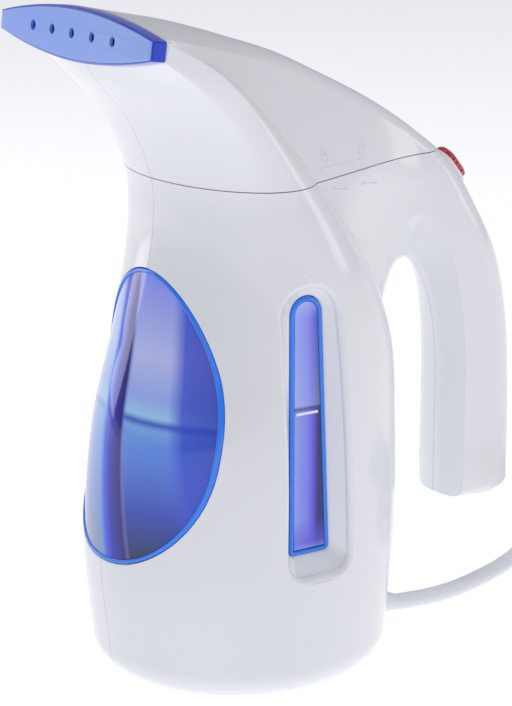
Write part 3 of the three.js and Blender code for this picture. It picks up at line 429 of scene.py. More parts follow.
def gap_point(x, angle, spare=0.0):
    """A point of the finger gap's wall at x; angle 0 is the bottom of the cut."""
    front = GRIP_FRONT - FLARE_FRONT * x * x - spare
    rear = GRIP_REAR + FLARE_REAR * x * x + spare
    top = GRIP_TOP + FLARE_TOP * x * x + spare
    half = (rear - front) / 2
    turn = abs(angle) / (math.pi / 2)
    side = math.copysign(1, angle)
    if turn < 0.5:
        y, z = side * half * turn * 2, GRIP_LOW
    elif turn < 1:
        y, z = side * half, GRIP_LOW + (GRIP_SPRING - GRIP_LOW) * (turn * 2 - 1)
    else:
        y, z = half * math.sin(angle), GRIP_SPRING - (top - GRIP_SPRING) * math.cos(angle)
    return Vector((x, (front + rear) / 2 + y, z))


def spun_form(name, around, along, place):
    """A closed form from a grid bent so that each point follows place(t, angle), closed at both ends."""
    form = bmesh.new()
    bmesh.ops.create_grid(form, x_segments=around, y_segments=along, size=1)
    for vert in form.verts:
        angle = vert.co.x * math.pi
        vert.co = place((vert.co.y + 1) / 2, 0.0 if abs(angle) < 1e-6 else angle) * MM
    return closed(name, form)


tools = []


def closed(name, form):
    bmesh.ops.remove_doubles(form, verts=form.verts, dist=1e-7)
    bmesh.ops.holes_fill(form, edges=form.edges, sides=0)
    bmesh.ops.recalc_face_normals(form, faces=form.faces)
    mesh = bpy.data.meshes.new(name)
    form.to_mesh(mesh)
    form.free()
    piece = bpy.data.objects.new(name, mesh)
    scene.collection.objects.link(piece)
    tools.append(piece)
    return piece


def ringed_form(name, rings):
    """A closed form through rings of points, the same number in each, closed at both ends."""
    count = len(rings[0])
    lines = len(rings)
    form = bmesh.new()
    bmesh.ops.create_grid(form, x_segments=count, y_segments=lines - 1, size=1)
    for vert in form.verts:
        i = round((vert.co.x + 1) / 2 * count) % count
        j = round((vert.co.y + 1) / 2 * (lines - 1))
        vert.co = rings[j][i] * MM
    return closed(name, form)


def boxed(name, low, high):
    form = bmesh.new()
    bmesh.ops.create_cube(form, size=1)
    low, high = Vector(low), Vector(high)
    for vert in form.verts:
        vert.co = Vector((low[i] + (high[i] - low[i]) * (vert.co[i] + 0.5)) for i in range(3)) * MM
    return closed(name, form)


def made_from(name, first, *steps):
    """A new piece: first, then its UNION, DIFFERENCE or INTERSECT with each tool in turn."""
    piece = bpy.data.objects.new(name, first.data.copy())
    scene.collection.objects.link(piece)
    tools.append(piece)
    for how, tool in steps:
        change = piece.modifiers.new(how, "BOOLEAN")
        change.operation = how
        change.solver = "MANIFOLD"
        change.object = tool
    depsgraph = bpy.context.evaluated_depsgraph_get()
    mesh = bpy.data.meshes.new_from_object(piece.evaluated_get(depsgraph))
    piece.modifiers.clear()
    piece.data = mesh
    mesh.name = name
    return piece


END_ROUND = 4.5
END_SHARE = 0.07
FIRST_STATION = 33  # from the handle's lower end to the next station
END_LENGTH = END_ROUND / FIRST_STATION / FIN_LAST


def rounded_fin(t, angle):
    """The fin with its lower end rounded off; the end takes the first few rows of points."""
    if t > END_SHARE:
        return fin_point(END_LENGTH + (1 - END_LENGTH) * (t - END_SHARE) / (1 - END_SHARE), angle)
    turn = t / END_SHARE * math.pi / 2
    return fin_point(END_LENGTH * (1 - math.cos(turn)), angle, END_ROUND * (1 - math.sin(turn)))


upright = spun_form("upright_form", 144, 140, lambda t, a: housing_point(t * (HOUSING_LAST + 1) - 1, a))
fin_form = spun_form("fin_form", 160, 160, rounded_fin)
gap_form = spun_form("gap_form", 120, 44, lambda t, a: gap_point((2 * t - 1) * GRIP_REACH, a))
gap_wide = spun_form("gap_hollow", 48, 20, lambda t, a: gap_point((2 * t - 1) * GRIP_REACH, a, WALL))
fin_cut = made_from("fin_cut", fin_form, ("DIFFERENCE", gap_form))
outer = made_from("outer_form", upright, ("UNION", fin_cut))
NEAR_END = 0.2


def fin_hollow_point(t, angle):
    return fin_point((NEAR_END + t * (FIN_LAST - 2 * NEAR_END)) / FIN_LAST, angle, WALL)


def upright_hollow_point(t, angle):
    return housing_point(t * (HOUSING_LAST - NEAR_END), angle, WALL)


FAR = 200
HIGH = 400
LEDGE_TOP = 5.3
COVER_TOP = 2.7
COVER_RADIUS = 38
LEDGE_RADIUS = 27
fin_in = spun_form("fin_hollow", 48, 48, fin_hollow_point)
fin_in = made_from("fin_hollow_cut", fin_in, ("DIFFERENCE", gap_wide))
upright_in = spun_form("upright_hollow", 64, 48, upright_hollow_point)
above_ledge = boxed("above_ledge", (-FAR, -FAR, LEDGE_TOP), (FAR, FAR, HIGH))
foot_in = spun_form("foot_hollow", 64, 8, lambda t, a: housing_point(t - 1, a, WALL))


def rod_form(name, radius, low, high, x=0.0, y=0.0, segments=96):
    form = bmesh.new()
    r, tall = radius * MM, (high - low) * MM
    bmesh.ops.create_cone(form, cap_ends=True, segments=segments, radius1=r, radius2=r, depth=tall)
    bmesh.ops.translate(form, verts=form.verts, vec=Vector((x, y, (low + high) / 2)) * MM)
    return closed(name, form)


nozzle_up = Vector((0, math.sin(NOZZLE_TILT), math.cos(NOZZLE_TILT)))
nozzle_out = Vector((0, -math.cos(NOZZLE_TILT), math.sin(NOZZLE_TILT)))


def leaf_ring(inset, depth, count=200):
    """The nozzle's leaf outline on its slanted plane, depth mm ahead of its face."""
    middle = (NOZZLE_UP - NOZZLE_DOWN) / 2
    half = (NOZZLE_UP + NOZZLE_DOWN) / 2 - inset
    ring = []
    for i in range(count):
        along, rise = leaf_point(2 * math.pi * (i + 0.5) / count)
        flat = Vector((along * (NOZZLE_HALF - inset), 0, 0)) + nozzle_up * (middle - rise * half)
        ring.append(NOZZLE + flat + nozzle_out * depth)
    return ring


def leaf_form(name, inset, back, front):
    """The leaf as a solid, from back mm behind its face to front mm ahead."""
    return ringed_form(name, [leaf_ring(inset, depth, 160) for depth in (-back, front)])


hollow = made_from(
    "hollow_form",
    upright_in,
    ("UNION", foot_in),
    ("UNION", fin_in),
    ("INTERSECT", above_ledge),
    ("UNION", rod_form("cover_opening", COVER_RADIUS, -1, COVER_TOP)),
    ("UNION", rod_form("ledge_opening", LEDGE_RADIUS, -1, LEDGE_TOP + 1)),
    ("UNION", leaf_form("nozzle_opening", WALL + GAP + 1.5, NOZZLE_THICK + 3, 1)),
)


def form_source(form, sign=1):
    """What is needed to look up a smooth form's surface and normals."""
    mesh = form.data
    tree = BVHTree.FromPolygons([v.co for v in mesh.vertices], [p.vertices[:] for p in mesh.polygons])
    return mesh, tree, [v.normal.copy() for v in mesh.vertices], sign


source_forms = [form_source(upright), form_source(fin_form), form_source(gap_form, -1)]


def source_normal(source, location, face):
    mesh, tree, normals, sign = source
    corners = mesh.polygons[face].vertices
    weights = poly_3d_calc([mesh.vertices[i].co for i in corners], location)
    normal = sum((normals[i] * w for i, w in zip(corners, weights)), Vector())
    return normal.normalized() * sign


ON_SURFACE = 0.04 * MM
SHARP = math.radians(35)


def polished(piece, sources):
    """Gives the piece the smooth forms' own normals, so that cuts don't ripple its gloss."""
    mesh = piece.data
    mesh.shade_smooth()
    mesh.set_sharp_from_angle(angle=SHARP)
    normals = [corner.vector.copy() for corner in mesh.corner_normals]
    known = {}
    for polygon in mesh.polygons:
        for source_index, source in enumerate(sources):
            near, facing, face, distance = source[1].find_nearest(polygon.center, ON_SURFACE * 4)
            if near is None:
                continue
            true_normal = source_normal(source, near, face)
            if distance > ON_SURFACE * 2 or true_normal.dot(polygon.normal) < 0.9:
                continue
            for loop in polygon.loop_indices:
                vertex = mesh.loops[loop].vertex_index
                key = (source_index, vertex)
                if key not in known:
                    corner = mesh.vertices[vertex].co
                    spot, facing, face, distance = source[1].find_nearest(corner, ON_SURFACE * 6)
                    known[key] = source_normal(source, spot, face) if spot else None
                if known[key]:
                    normals[loop] = known[key]
            break
    mesh.normals_split_custom_set([tuple(n) for n in normals])


# ------------------------------------------------------------------ side window recesses
# A slot sunk 5 mm into each flank: rounded lip, steep front wall, broad leaning rear wall, and a sill
# round the glass opening at the bottom.
SLOT = {"low": 43.4, "high": 140, "front": -11.4, "rear": 12.2, "taper": 4.6, "corner": 6}
PANE = {"low": 49.8, "high": 137, "front": -8.2, "rear": 7, "taper": 3.4, "corner": 1.5}
SILL_X = 44.6


def slot_outline(low, high, front, rear, taper, corner, spare):
    """The slot's outline in y, z: straight front, leaning rear, round top, small bottom corners."""
    f, r, b = front - spare, rear + spare, low - spare
    top_rear = r - taper
    half = (top_rear - f) / 2
    spring = high + spare - half
    radius = corner + spare
    points = []
    for i in range(12):
        turn = math.radians(180 + 90 * i / 11)
        points.append((f + radius + radius * math.cos(turn), b + radius + radius * math.sin(turn)))
    for i in range(12):
        turn = math.radians(270 + 90 * i / 11)
        points.append((r - radius + radius * math.cos(turn), b + radius + radius * math.sin(turn)))
    for i in range(1, 30):
        points.append((r - (r - top_rear) * i / 30, b + radius + (spring - b - radius) * i / 30))
    for i in range(37):
        turn = math.radians(180 * i / 36)
        points.append((f + half + half * math.cos(turn), spring + half * math.sin(turn)))
    for i in range(1, 30):
        points.append((f, spring - (spring - b - radius) * i / 30))
    return points


flank_tree = source_forms[0][1]


def flank_x(y, z):
    """How far out the flank is at this y and z."""
    hit = flank_tree.ray_cast(Vector((90, y, z)) * MM, Vector((-1, 0, 0)))
    return hit[0].x / MM


LIP = 2.4
slot_rings = [[Vector((75, y, z)) for y, z in slot_outline(**SLOT, spare=LIP)]]
for i in range(8):
    turn = i / 7 * math.pi / 2
    ring = slot_outline(**SLOT, spare=LIP * (1 - math.sin(turn)))
    slot_rings.append([Vector((flank_x(y, z) - LIP * (1 - math.cos(turn)), y, z)) for y, z in ring])
edge = slot_outline(**SLOT, spare=0)
sill = slot_outline(**PANE, spare=0.9)
for i in range(1, 9):
    share = i / 8
    ring = []
    for (y0, z0), (y1, z1) in zip(edge, sill):
        start = Vector((flank_x(y0, z0) - LIP, y0, z0))
        ring.append(start.lerp(Vector((SILL_X, y1, z1)), share))
    slot_rings.append(ring)
slot_rings.append([Vector((SILL_X - 0.4, y, z)) for y, z in slot_outline(**PANE, spare=0.35)])
slot_rings.append([Vector((SILL_X - 14, y, z)) for y, z in slot_outline(**PANE, spare=0.35)])
slot_right = ringed_form("slot_right", slot_rings)
slot_left = ringed_form("slot_left", [[Vector((-p.x, p.y, p.z)) for p in ring] for ring in slot_rings])
pocket_rings = [
    [Vector((x, y, z)) for y, z in slot_outline(**SLOT, spare=4)] for x in (SILL_X - 1.8, SILL_X + 30)
]
pocket_right = ringed_form("pocket_right", pocket_rings)
pocket_left = ringed_form("pocket_left", [[Vector((-p.x, p.y, p.z)) for p in ring] for ring in pocket_rings])


# ------------------------------------------------------------------ front window opening
# An egg-shaped opening in the housing's front; its lip is barely broken, so that the lens sits flush.
EGG_TOP = 141.5
EGG_WIDE = 88
EGG_LOW = 44.6
EGG_HALF = 39.4
EGG_FULL = 2.3
EGG_POINTS = 160


def egg_outline(spare):
    points = []
    for i in range(EGG_POINTS):
        angle = 2 * math.pi * i / EGG_POINTS
        across, up = math.cos(angle), math.sin(angle)
        power = 1 if up > 0 else 2 / EGG_FULL
        tall = EGG_TOP - EGG_WIDE if up > 0 else EGG_WIDE - EGG_LOW
        x = (EGG_HALF + spare) * math.copysign(abs(across) ** power, across)
        z = EGG_WIDE + (tall + spare) * math.copysign(abs(up) ** power, up)
        points.append((x, z))
    return points


def front_y(x, z):
    """Where the housing's front is at this x and z."""
    hit = flank_tree.ray_cast(Vector((x, -120, z)) * MM, Vector((0, 1, 0)))
    return hit[0].y / MM


egg_cut = ringed_form(
    "egg_cut",
    [
        [Vector((x, -90, z)) for x, z in egg_outline(0.5)],
        [Vector((x, front_y(x, z), z)) for x, z in egg_outline(0.5)],
        [Vector((x, front_y(x, z) + 0.15, z)) for x, z in egg_outline(0.15)],
        [Vector((x, front_y(x, z) + 0.5, z)) for x, z in egg_outline(0)],
        [Vector((x, -8, z)) for x, z in egg_outline(0)],
    ],
)

# ------------------------------------------------------------------ red rocker's seat in the spine
# An oval hole on the spine just below the head, square to the spine.
SEAT_PLACE = 0.372
SEAT_HALF = 5.6
SEAT_LENGTH = 16.5
seat_centre = through(spine_line, SEAT_PLACE)
seat_down = (through(spine_line, SEAT_PLACE - 0.002) - through(spine_line, SEAT_PLACE + 0.002)).normalized()
seat_out = Vector((1, 0, 0)).cross(seat_down)


def seat_outline(spare, low, count=48):
    """An oval ring across and down the spine, at a height out of it."""
    ring = []
    straight = SEAT_LENGTH / 2 - SEAT_HALF
    for i in range(count):
        angle = 2 * math.pi * (i + 0.5) / count
        across = (SEAT_HALF + spare) * math.cos(angle)
        down = (SEAT_HALF + spare) * math.sin(angle) + math.copysign(straight, math.sin(angle))
        ring.append(seat_centre + Vector((across, 0, 0)) + seat_down * down + seat_out * low)
    return ring


SEAT_DEPTH = 7
seat_cut = ringed_form("seat_cut", [seat_outline(GAP, -SEAT_DEPTH - GAP), seat_outline(GAP, 12)])

# ------------------------------------------------------------------ body and head shells
# Two halves each for body and head, in polished white ABS with 2.4 mm walls. The halves meet on the
# plane of symmetry in a hairline joint, and the head meets the body at a level joint.
HAIRLINE = 0.11
JOINT = 0.16
relief_turn = Vector((0, 0, 1)).rotation_difference(RELIEF_AXIS).to_matrix().to_4x4()
RELIEF_RADIUS = 4.6
relief_hole = rod_form("relief_hole", RELIEF_RADIUS + GAP, -2, RELIEF_LENGTH + 3, segments=48)
relief_hole.data.transform(Matrix.Translation(RELIEF_FOOT * MM) @ relief_turn)
right_side = boxed("right_side", (HAIRLINE, -FAR, -10), (FAR, FAR, HIGH))
left_side = boxed("left_side", (-FAR, -FAR, -10), (-HAIRLINE, FAR, HIGH))
below_joint = boxed("below_joint", (-FAR, -FAR, -1), (FAR, FAR, PART_Z - JOINT))
above_joint = boxed("above_joint", (-FAR, -FAR, PART_Z + JOINT), (FAR, FAR, HIGH))
nozzle_room = leaf_form("nozzle_room", -20, NOZZLE_THICK + GAP, 40)
shell = made_from("shell_form", outer, ("DIFFERENCE", hollow))
pockets = made_from("pockets", outer, ("INTERSECT", pocket_right))
pockets_left = made_from("pockets_left", outer, ("INTERSECT", pocket_left))
body_form = made_from(
    "body_form",
    shell,
    ("UNION", pockets),
    ("UNION", pockets_left),
    ("INTERSECT", below_joint),
    ("DIFFERENCE", slot_right),
    ("DIFFERENCE", slot_left),
    ("DIFFERENCE", egg_cut),
    ("DIFFERENCE", seat_cut),
    ("DIFFERENCE", relief_hole),
)
head_form = made_from("head_form", shell, ("INTERSECT", above_joint), ("DIFFERENCE", nozzle_room))

# Injection-moulded ABS from a polished tool: even white, mirror-like gloss, very slight waviness.
abs_white = finish("polished_white_abs", "#f0f1f5", 0.12, IOR=1.53)
grained(abs_white, 14, 0.02, 0.4, 1.0)


def painted(piece, material, body, node):
    """Gives a piece its material and its place in the frame."""
    piece.data.materials.clear()
    piece.data.materials.append(material)
    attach(piece, body)
    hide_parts(node)


for name, form, side, body in (
    ("body_shell_right", body_form, right_side, "body"),
    ("body_shell_left", body_form, left_side, "body"),
    ("head_shell_right", head_form, right_side, "head"),
    ("head_shell_left", head_form, left_side, "head"),
):
    piece = made_from(name + "_moulding", form, ("INTERSECT", side))
    polished(piece, source_forms)
    painted(piece, abs_white, body, name)

# ------------------------------------------------------------------ front window
# A clear blue lens, moulded to the housing's curve and pressed into its opening with a gloss rim round it.
# Its bands of blue are painted light: painted refraction of the tank behind, pale over the water and deep
# where the tank's wall is edge-on, a pale painted reflection on the -x side, and darker towards the bottom.
RIM_WIDE = 1.5


def looped_form(name, outline_at, section):
    """A closed rim: section's (spare, height) points carried round the outline that outline_at gives."""
    rings = [outline_at(spare, height) for spare, height in section]
    count, lines = len(rings[0]), len(rings)
    form = bmesh.new()
    bmesh.ops.create_grid(form, x_segments=count, y_segments=lines, size=1)
    for vert in form.verts:
        i = round((vert.co.x + 1) / 2 * count) % count
        j = round((vert.co.y + 1) / 2 * lines) % lines
        vert.co = rings[j][i] * MM
    return closed(name, form)


def set_stops(ramp, stops):
    """Sets a colour ramp from (place, hex colour, alpha) stops."""
    elements = ramp.color_ramp.elements
    while len(elements) < len(stops):
        elements.new(0.5)
    for element, (place, colour, alpha) in zip(elements, stops):
        element.position = place
        element.color = linear(colour)[:3] + [alpha]


tank_blue = finish("clear_blue_polycarbonate", "#4060e0", 0.07, IOR=1.58)
where = add_node(tank_blue, "TexCoord")
axes = add_node(tank_blue, "SeparateXYZ", {"Vector": (where, "Object")})
height = add_node(tank_blue, "MapRange", {"Value": (axes, "Z")}, **{"From Min": 0.04, "From Max": 0.14})
# Painted light by height: pale where light comes through the water, and darker towards the bottom.
painted_light_by_height = add_node(tank_blue, "ValToRGB", {"Fac": (height, "Result")})
set_stops(painted_light_by_height, [
    (0.0, "#0c1030", 1), (0.1, "#20305f", 1), (0.25, "#2e4cc0", 1), (0.45, "#5f8ff0", 1),
    (0.525, "#86b4f6", 1), (0.545, "#3f5fd0", 1), (0.565, "#a8d8ff", 1), (0.62, "#a0b8ff", 1),
    (0.75, "#c5ccff", 1), (1.0, "#8f9cff", 1),
])
slant = add_node(tank_blue, "Mapping", {"Vector": (where, "Object")}, Rotation=(0, 0.19, 0))
slant_axes = add_node(tank_blue, "SeparateXYZ", {"Vector": (slant, "Vector")})
across = add_node(tank_blue, "MapRange", {"Value": (slant_axes, "X")}, **{"From Min": 0.0, "From Max": 0.06})
# Painted light across: painted refraction, deep blue where the tank's wall is edge-on, and a pale painted
# reflection on the -x side.
painted_light_across = add_node(tank_blue, "ValToRGB", {"Fac": (across, "Result")})
set_stops(painted_light_across, [
    (0.0, "#c5ccff", 0.5), (0.14, "#a8d8ff", 0.5), (0.2, "#3e62f8", 1), (0.26, "#1c22c0", 1),
    (0.36, "#20187a", 1), (0.4, "#8f9cff", 0), (0.68, "#4a5ce8", 0), (0.76, "#3350dc", 0.85),
    (1.0, "#2036b0", 0.9),
])
mixed = {"Fac": (painted_light_across, "Alpha"), "Color1": (painted_light_by_height, "Color"), "Color2": (painted_light_across, "Color")}
blend = add_node(tank_blue, "MixRGB", mixed)
shader = tank_blue.node_tree.nodes["Principled BSDF"]
tank_blue.node_tree.links.new(blend.outputs["Color"], shader.inputs["Base Color"])
rim_blue = finish("gloss_blue_rim", "#2f86ff", 0.08, IOR=1.58)
grained(rim_blue, 6, 0.02, 0.3)


def egg_ring(spare, depth):
    return [Vector((x, front_y(x, z) + depth, z)) for x, z in egg_outline(spare)]


rim_section = [
    (-0.2, 2.2), (-0.2, 0.3), (-0.45, -0.05), (-0.85, -0.2), (-1.25, -0.1), (-RIM_WIDE, 0.3), (-RIM_WIDE, 2.2)
]
front_rim = looped_form("front_window_rim", egg_ring, rim_section)
front_rim.data.shade_smooth()
painted(front_rim, rim_blue, "body", "front_window")
lens_room = ringed_form(
    "lens_room", [[Vector((x, y, z)) for x, z in egg_outline(-RIM_WIDE - 0.12)] for y in (-90, -8)]
)
lens_out = spun_form("lens_out", 144, 140, lambda t, a: housing_point(t * HOUSING_LAST, a, 0.45))
lens_in = spun_form("lens_in", 96, 80, upright_hollow_point)
front_lens = made_from("front_window_lens", lens_out, ("INTERSECT", lens_room), ("DIFFERENCE", lens_in))
polished(front_lens, [form_source(lens_out)])
painted(front_lens, tank_blue, "body", "front_window")

# ------------------------------------------------------------------ side windows
# A narrow clear blue gauge pane at the bottom of each recess, in a bright rim; a plain white line on it
# marks how far to fill. The pane's blues are painted light: pale where light comes through, painted shade in
# a dark band towards its rear, and painted highlights along its edges.
gauge_blue = finish("clear_blue_gauge", "#5a6cf0", 0.08, IOR=1.58)
where = add_node(gauge_blue, "TexCoord")
axes = add_node(gauge_blue, "SeparateXYZ", {"Vector": (where, "Object")})
across = add_node(gauge_blue, "MapRange", {"Value": (axes, "Y")}, **{"From Min": -0.0085, "From Max": 0.007})
# Painted light across the pane: painted highlights at its front and rear edges, pale where light comes
# through, painted shade in a dark band towards the rear.
painted_light_by_width = add_node(gauge_blue, "ValToRGB", {"Fac": (across, "Result")})
set_stops(painted_light_by_width, [
    (0.0, "#3f8cff", 1), (0.12, "#a0b4ff", 1), (0.45, "#8b8cff", 1), (0.62, "#5a50e8", 1),
    (0.72, "#1c1650", 1), (0.9, "#140f38", 1), (1.0, "#2f8cff", 1),
])
height = add_node(gauge_blue, "MapRange", {"Value": (axes, "Z")}, **{"From Min": 0.049, "From Max": 0.138})
# Painted light by height: painted highlights at the bottom and top edges, and a dark line with a pale one
# above it just over the fill mark.
painted_light_by_height = add_node(gauge_blue, "ValToRGB", {"Fac": (height, "Result")})
set_stops(painted_light_by_height, [
    (0.0, "#8fd8ff", 0.8), (0.05, "#6a50e8", 0.7), (0.14, "#3350dc", 0.15), (0.555, "#3a50c8", 0.1),
    (0.57, "#1a2058", 0.8), (0.585, "#c5d4ff", 0.3), (0.9, "#a0b4ff", 0.1), (1.0, "#e8f0ff", 0.6),
])
mixed = {"Fac": (painted_light_by_height, "Alpha"), "Color1": (painted_light_by_width, "Color"), "Color2": (painted_light_by_height, "Color")}
blend = add_node(gauge_blue, "MixRGB", mixed)
shader = gauge_blue.node_tree.nodes["Principled BSDF"]
gauge_blue.node_tree.links.new(blend.outputs["Color"], shader.inputs["Base Color"])
print_white = finish("white_pad_print", "#f6f8ff", 0.5)
grained(print_white, 0.3, 0.01)
PANE_RIM = [(0.1, -1.7), (0.1, -0.2), (-0.15, 0.2), (-0.65, 0.4), (-1.15, 0.2), (-1.4, -0.2), (-1.4, -1.7)]


def pane_ring(side, spare, height):
    """The pane's outline on its own flank, height mm out of the sill."""
    return [Vector((side * (SILL_X + height), y, z)) for y, z in slot_outline(**PANE, spare=spare)]


for side, name in ((1, "side_window_right"), (-1, "side_window_left")):
    rings = [pane_ring(side, *at) for at in ((-1.5, -1.7), (-1.5, -0.2), (-1.7, 0))]
    pane = ringed_form(name + "_pane", rings)
    pane.data.shade_smooth()
    pane.data.set_sharp_from_angle(angle=SHARP)
    painted(pane, gauge_blue, "body", name)
    rim = looped_form(name + "_rim", lambda spare, height: pane_ring(side, spare, height), PANE_RIM)
    rim.data.shade_smooth()
    painted(rim, rim_blue, "body", name)
    mark = boxed(name + "_mark", (SILL_X + 0.03, -6, 97.6), (SILL_X + 0.14, 2.4, 98.5))
    if side < 0:
        mark.data.transform(Matrix.Scale(-1, 4, (1, 0, 0)))
        mark.data.flip_normals()
    painted(mark, print_white, "body", name)

# ------------------------------------------------------------------ nozzle plate
# A satin blue leaf with a softened edge and one row of five steam holes, over a gloss deep-blue rim that
# plugs the head's front. The satin face is painted lighter towards its +x end, as painted light.
plate_satin = finish("satin_blue_nozzle", "#7c9ff5", 0.32, IOR=1.5)
where = add_node(plate_satin, "TexCoord")
axes = add_node(plate_satin, "SeparateXYZ", {"Vector": (where, "Object")})
across = add_node(plate_satin, "MapRange", {"Value": (axes, "X")}, **{"From Min": -0.05, "From Max": 0.05})
# Painted light: the face is lighter towards its +x end.
painted_light_by_width = add_node(plate_satin, "ValToRGB", {"Fac": (across, "Result")})
set_stops(painted_light_by_width, [(0.0, "#6c93f5", 1), (0.5, "#7fa4f7", 1), (1.0, "#98b4fa", 1)])
shader = plate_satin.node_tree.nodes["Principled BSDF"]
plate_satin.node_tree.links.new(painted_light_by_width.outputs["Color"], shader.inputs["Base Color"])
rim_deep = finish("gloss_deep_blue_nozzle_rim", "#1a3fd0", 0.08, IOR=1.58)
grained(rim_deep, 6, 0.02, 0.3)
HOLE_COUNT = 5
HOLE_PITCH = 13
HOLE_RADIUS = 1.65
HOLE_REACH = 12
holes = []
tip_turn = Vector((0, 0, 1)).rotation_difference(nozzle_out).to_matrix().to_4x4()
for i in range(HOLE_COUNT):
    place = NOZZLE + Vector(((i - (HOLE_COUNT - 1) / 2) * HOLE_PITCH, 0, 0))
    hole = rod_form("steam_hole", HOLE_RADIUS, -HOLE_REACH, HOLE_REACH, segments=32)
    hole.data.transform(Matrix.Translation(place * MM) @ tip_turn)
    holes.append(("DIFFERENCE", hole))
# inset and depth of each ring, from the back to the front
face_section = [(0.75, -1.1), (0.75, -0.45), (0.85, -0.2), (1.1, -0.04), (1.4, 0)]
rim_section = [(0, -NOZZLE_THICK), (0, -1), (0.12, -0.6), (0.35, -0.4), (0.7, -0.5), (0.72, -1.15)]
face_form = ringed_form("face_form", [leaf_ring(*at) for at in face_section])
rim_form = ringed_form("rim_form", [leaf_ring(*at) for at in rim_section])
for name, form, material in (
    ("nozzle_plate_face", face_form, plate_satin),
    ("nozzle_plate_rim", rim_form, rim_deep),
):
    piece = made_from(name, form, *holes)
    piece.data.shade_smooth()
    piece.data.set_sharp_from_angle(angle=math.radians(40))
    painted(piece, material, "head", "nozzle_plate")

# ------------------------------------------------------------------ red rocker and its white frame
# A ridged red polycarbonate rocker in a rounded white frame, set in the spine just below the head.
red_lens = finish("ridged_red_polycarbonate", "#c01830", 0.16, IOR=1.58)
where = add_node(red_lens, "TexCoord")
lean = seat_out.angle(Vector((0, 0, 1)))
turned = add_node(red_lens, "Mapping", {"Vector": (where, "Object")}, Rotation=(lean, 0, 0))
ridges = add_node(red_lens, "TexWave", {"Vector": (turned, "Vector")}, bands_direction="Y", Scale=160)
bump = add_node(red_lens, "Bump", {"Height": (ridges, "Color")}, Strength=0.8, Distance=0.3 * MM)
speckle = add_node(red_lens, "TexNoise", {"Vector": (where, "Object")}, Scale=900, Detail=2)
tint = add_node(red_lens, "ValToRGB", {"Fac": (speckle, "Color")})
set_stops(tint, [(0.35, "#8c0c20", 1), (0.65, "#e04058", 1)])
shader = red_lens.node_tree.nodes["Principled BSDF"]
red_lens.node_tree.links.new(bump.outputs["Normal"], shader.inputs["Normal"])
red_lens.node_tree.links.new(tint.outputs["Color"], shader.inputs["Base Color"])
rocker = ringed_form(
    "red_rocker",
    [seat_outline(spare, low) for spare, low in (
        (-1.0, -2.4), (-1.0, 1.4), (-1.15, 2.0), (-1.7, 2.5), (-2.7, 2.75), (-4.2, 2.8))],
)
rocker.data.shade_smooth()
painted(rocker, red_lens, "switch", "switch_rocker")
frame_section = [
    (0.2, -SEAT_DEPTH), (0.2, -0.5), (0.1, -0.2), (-0.1, -0.05), (-0.4, -0.05), (-0.65, -0.2), (-0.75, -0.5),
    (-0.75, -5.5),
]
frame_ring = ringed_form("rocker_frame", [seat_outline(*at) for at in frame_section])
frame_ring.data.shade_smooth()
frame_ring.data.set_sharp_from_angle(angle=math.radians(60))
painted(frame_ring, abs_white, "body", "switch_frame")

# ------------------------------------------------------------------ raised marks on the flank
# Moulded in the head and body: a closed and an open padlock with a line between them, for the head's turn,
# and plain bars on the body where the object carries words.
outer_tree = BVHTree.FromPolygons(
    [v.co for v in outer.data.vertices], [face.vertices[:] for face in outer.data.polygons]
)


def embossed(name, strokes, body, node, radius=0.28):
    """Raised strokes, each a list of (y, z) laid on the right flank."""
    curve = bpy.data.curves.new(name, "CURVE")
    curve.dimensions = "3D"
    curve.bevel_depth = radius * MM
    curve.bevel_resolution = 2
    curve.use_fill_caps = True
    for stroke in strokes:
        spline = curve.splines.new("POLY")
        spline.points.add(len(stroke) - 1)
        for point, (y, z) in zip(spline.points, stroke):
            hit = outer_tree.ray_cast(Vector((90, y, z)) * MM, Vector((-1, 0, 0)))
            point.co = (*(hit[0] - hit[1] * 0.05 * MM), 1)
    mark = bpy.data.objects.new(name, curve)
    scene.collection.objects.link(mark)
    curve.materials.append(abs_white)
    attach(mark, body)
    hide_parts(node)


def padlock(y, z, swing):
    """A padlock's strokes about its middle; swing moves the shackle sideways when it is open."""
    box = [(y - 1.6, z - 2), (y + 1.6, z - 2), (y + 1.6, z + 0.2), (y - 1.6, z + 0.2), (y - 1.6, z - 2)]
    shackle = [(y + swing - 1.1, z + 0.2)]
    for i in range(9):
        turn = math.radians(180 - 22.5 * i)
        shackle.append((y + swing + 1.1 * math.cos(turn), z + 1.1 + 1.1 * math.sin(turn)))
    if swing == 0:
        shackle.append((y + 1.1, z + 0.2))
    return [box, shackle]


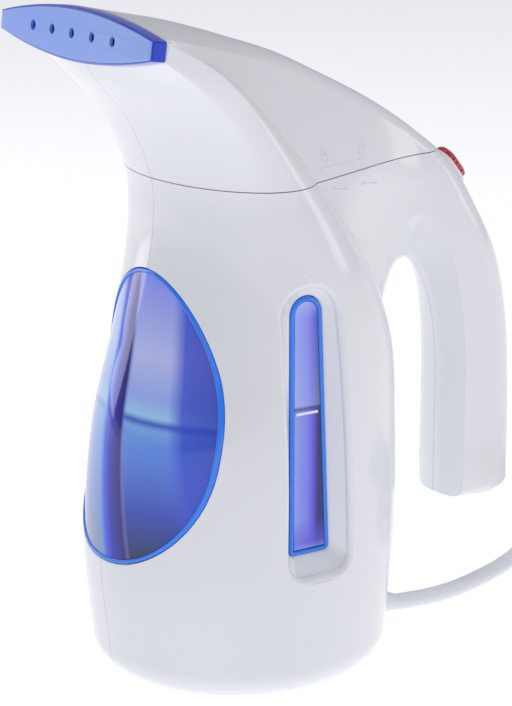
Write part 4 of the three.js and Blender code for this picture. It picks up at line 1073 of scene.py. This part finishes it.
line = [(10.2 + 26.5 * i / 24, 175.1 - 0.5 * i / 24) for i in range(25)]
embossed("turn_marks", [line, *padlock(13.5, 179, 0), *padlock(34.6, 178.4, 1.5)], "head", "head_shell_right")
bars = [[(y0 + (y1 - y0) * i / 8, z0 + (z1 - z0) * i / 8) for i in range(9)] for y0, z0, y1, z1 in (
    (14, 168.4, 23.5, 166.4), (32, 167, 41.5, 165.4))]
embossed("flank_bars", bars, "body", "body_shell_right", 0.4)

# ------------------------------------------------------------------ inner parts and small fittings
# Plain parts shown as modelled: moulded white liners, silicone seals, the steel and aluminium boiler,
# screws, wires and the brass blades.
inner_white = finish("natural_white_polypropylene", "#e6e6e2", 0.45)
grained(inner_white, 1.5, 0.03)
silicone = finish("grey_silicone", "#bcc3cc", 0.6)
grained(silicone, 0.8, 0.02)
steel = finish("bright_zinc_plated_steel", "#b4b7bc", 0.28, Metallic=1.0)
grained(steel, 0.5, 0.01)
aluminium = finish("cast_aluminium", "#c4c6ca", 0.42, Metallic=1.0)
grained(aluminium, 0.9, 0.05)
brass = finish("polished_brass", "#cfae66", 0.24, Metallic=1.0)
grained(brass, 0.5, 0.01)
ceramic = finish("cream_ceramic_sleeve", "#e6dccb", 0.5)
grained(ceramic, 0.7, 0.03)
brown_wire = finish("brown_silicone_wire", "#6e4228", 0.45)
grained(brown_wire, 0.7, 0.02)
blue_wire = finish("blue_silicone_wire", "#284a96", 0.45)
grained(blue_wire, 0.7, 0.02)
fittings = {
    inner_white: "base_cover steam_dome terminal_block cord_clamp body_deck head_floor bayonet_ring "
    "splash_baffle steam_duct",
    silicone: "tank_gasket mouth_seal nozzle_gasket",
    steel: "base_screw_1 base_screw_2 base_screw_3 base_screw_4 heating_element thermostat "
    "clamp_screw_1 clamp_screw_2",
    aluminium: "heater_plate",
    brass: "plug_blade_1 plug_blade_2",
    ceramic: "thermal_fuse",
    brown_wire: "live_lead",
    blue_wire: "neutral_lead",
    # The tank takes the front lens's material, with its painted light.
    tank_blue: "tank",
    abs_white: "handle_end_cap",
}
for material, names in fittings.items():
    for name in names.split():
        frame["nodes"][name].data.materials.clear()
        frame["nodes"][name].data.materials.append(material)

for tool in tools:
    if "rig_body" not in tool:
        bpy.data.objects.remove(tool)
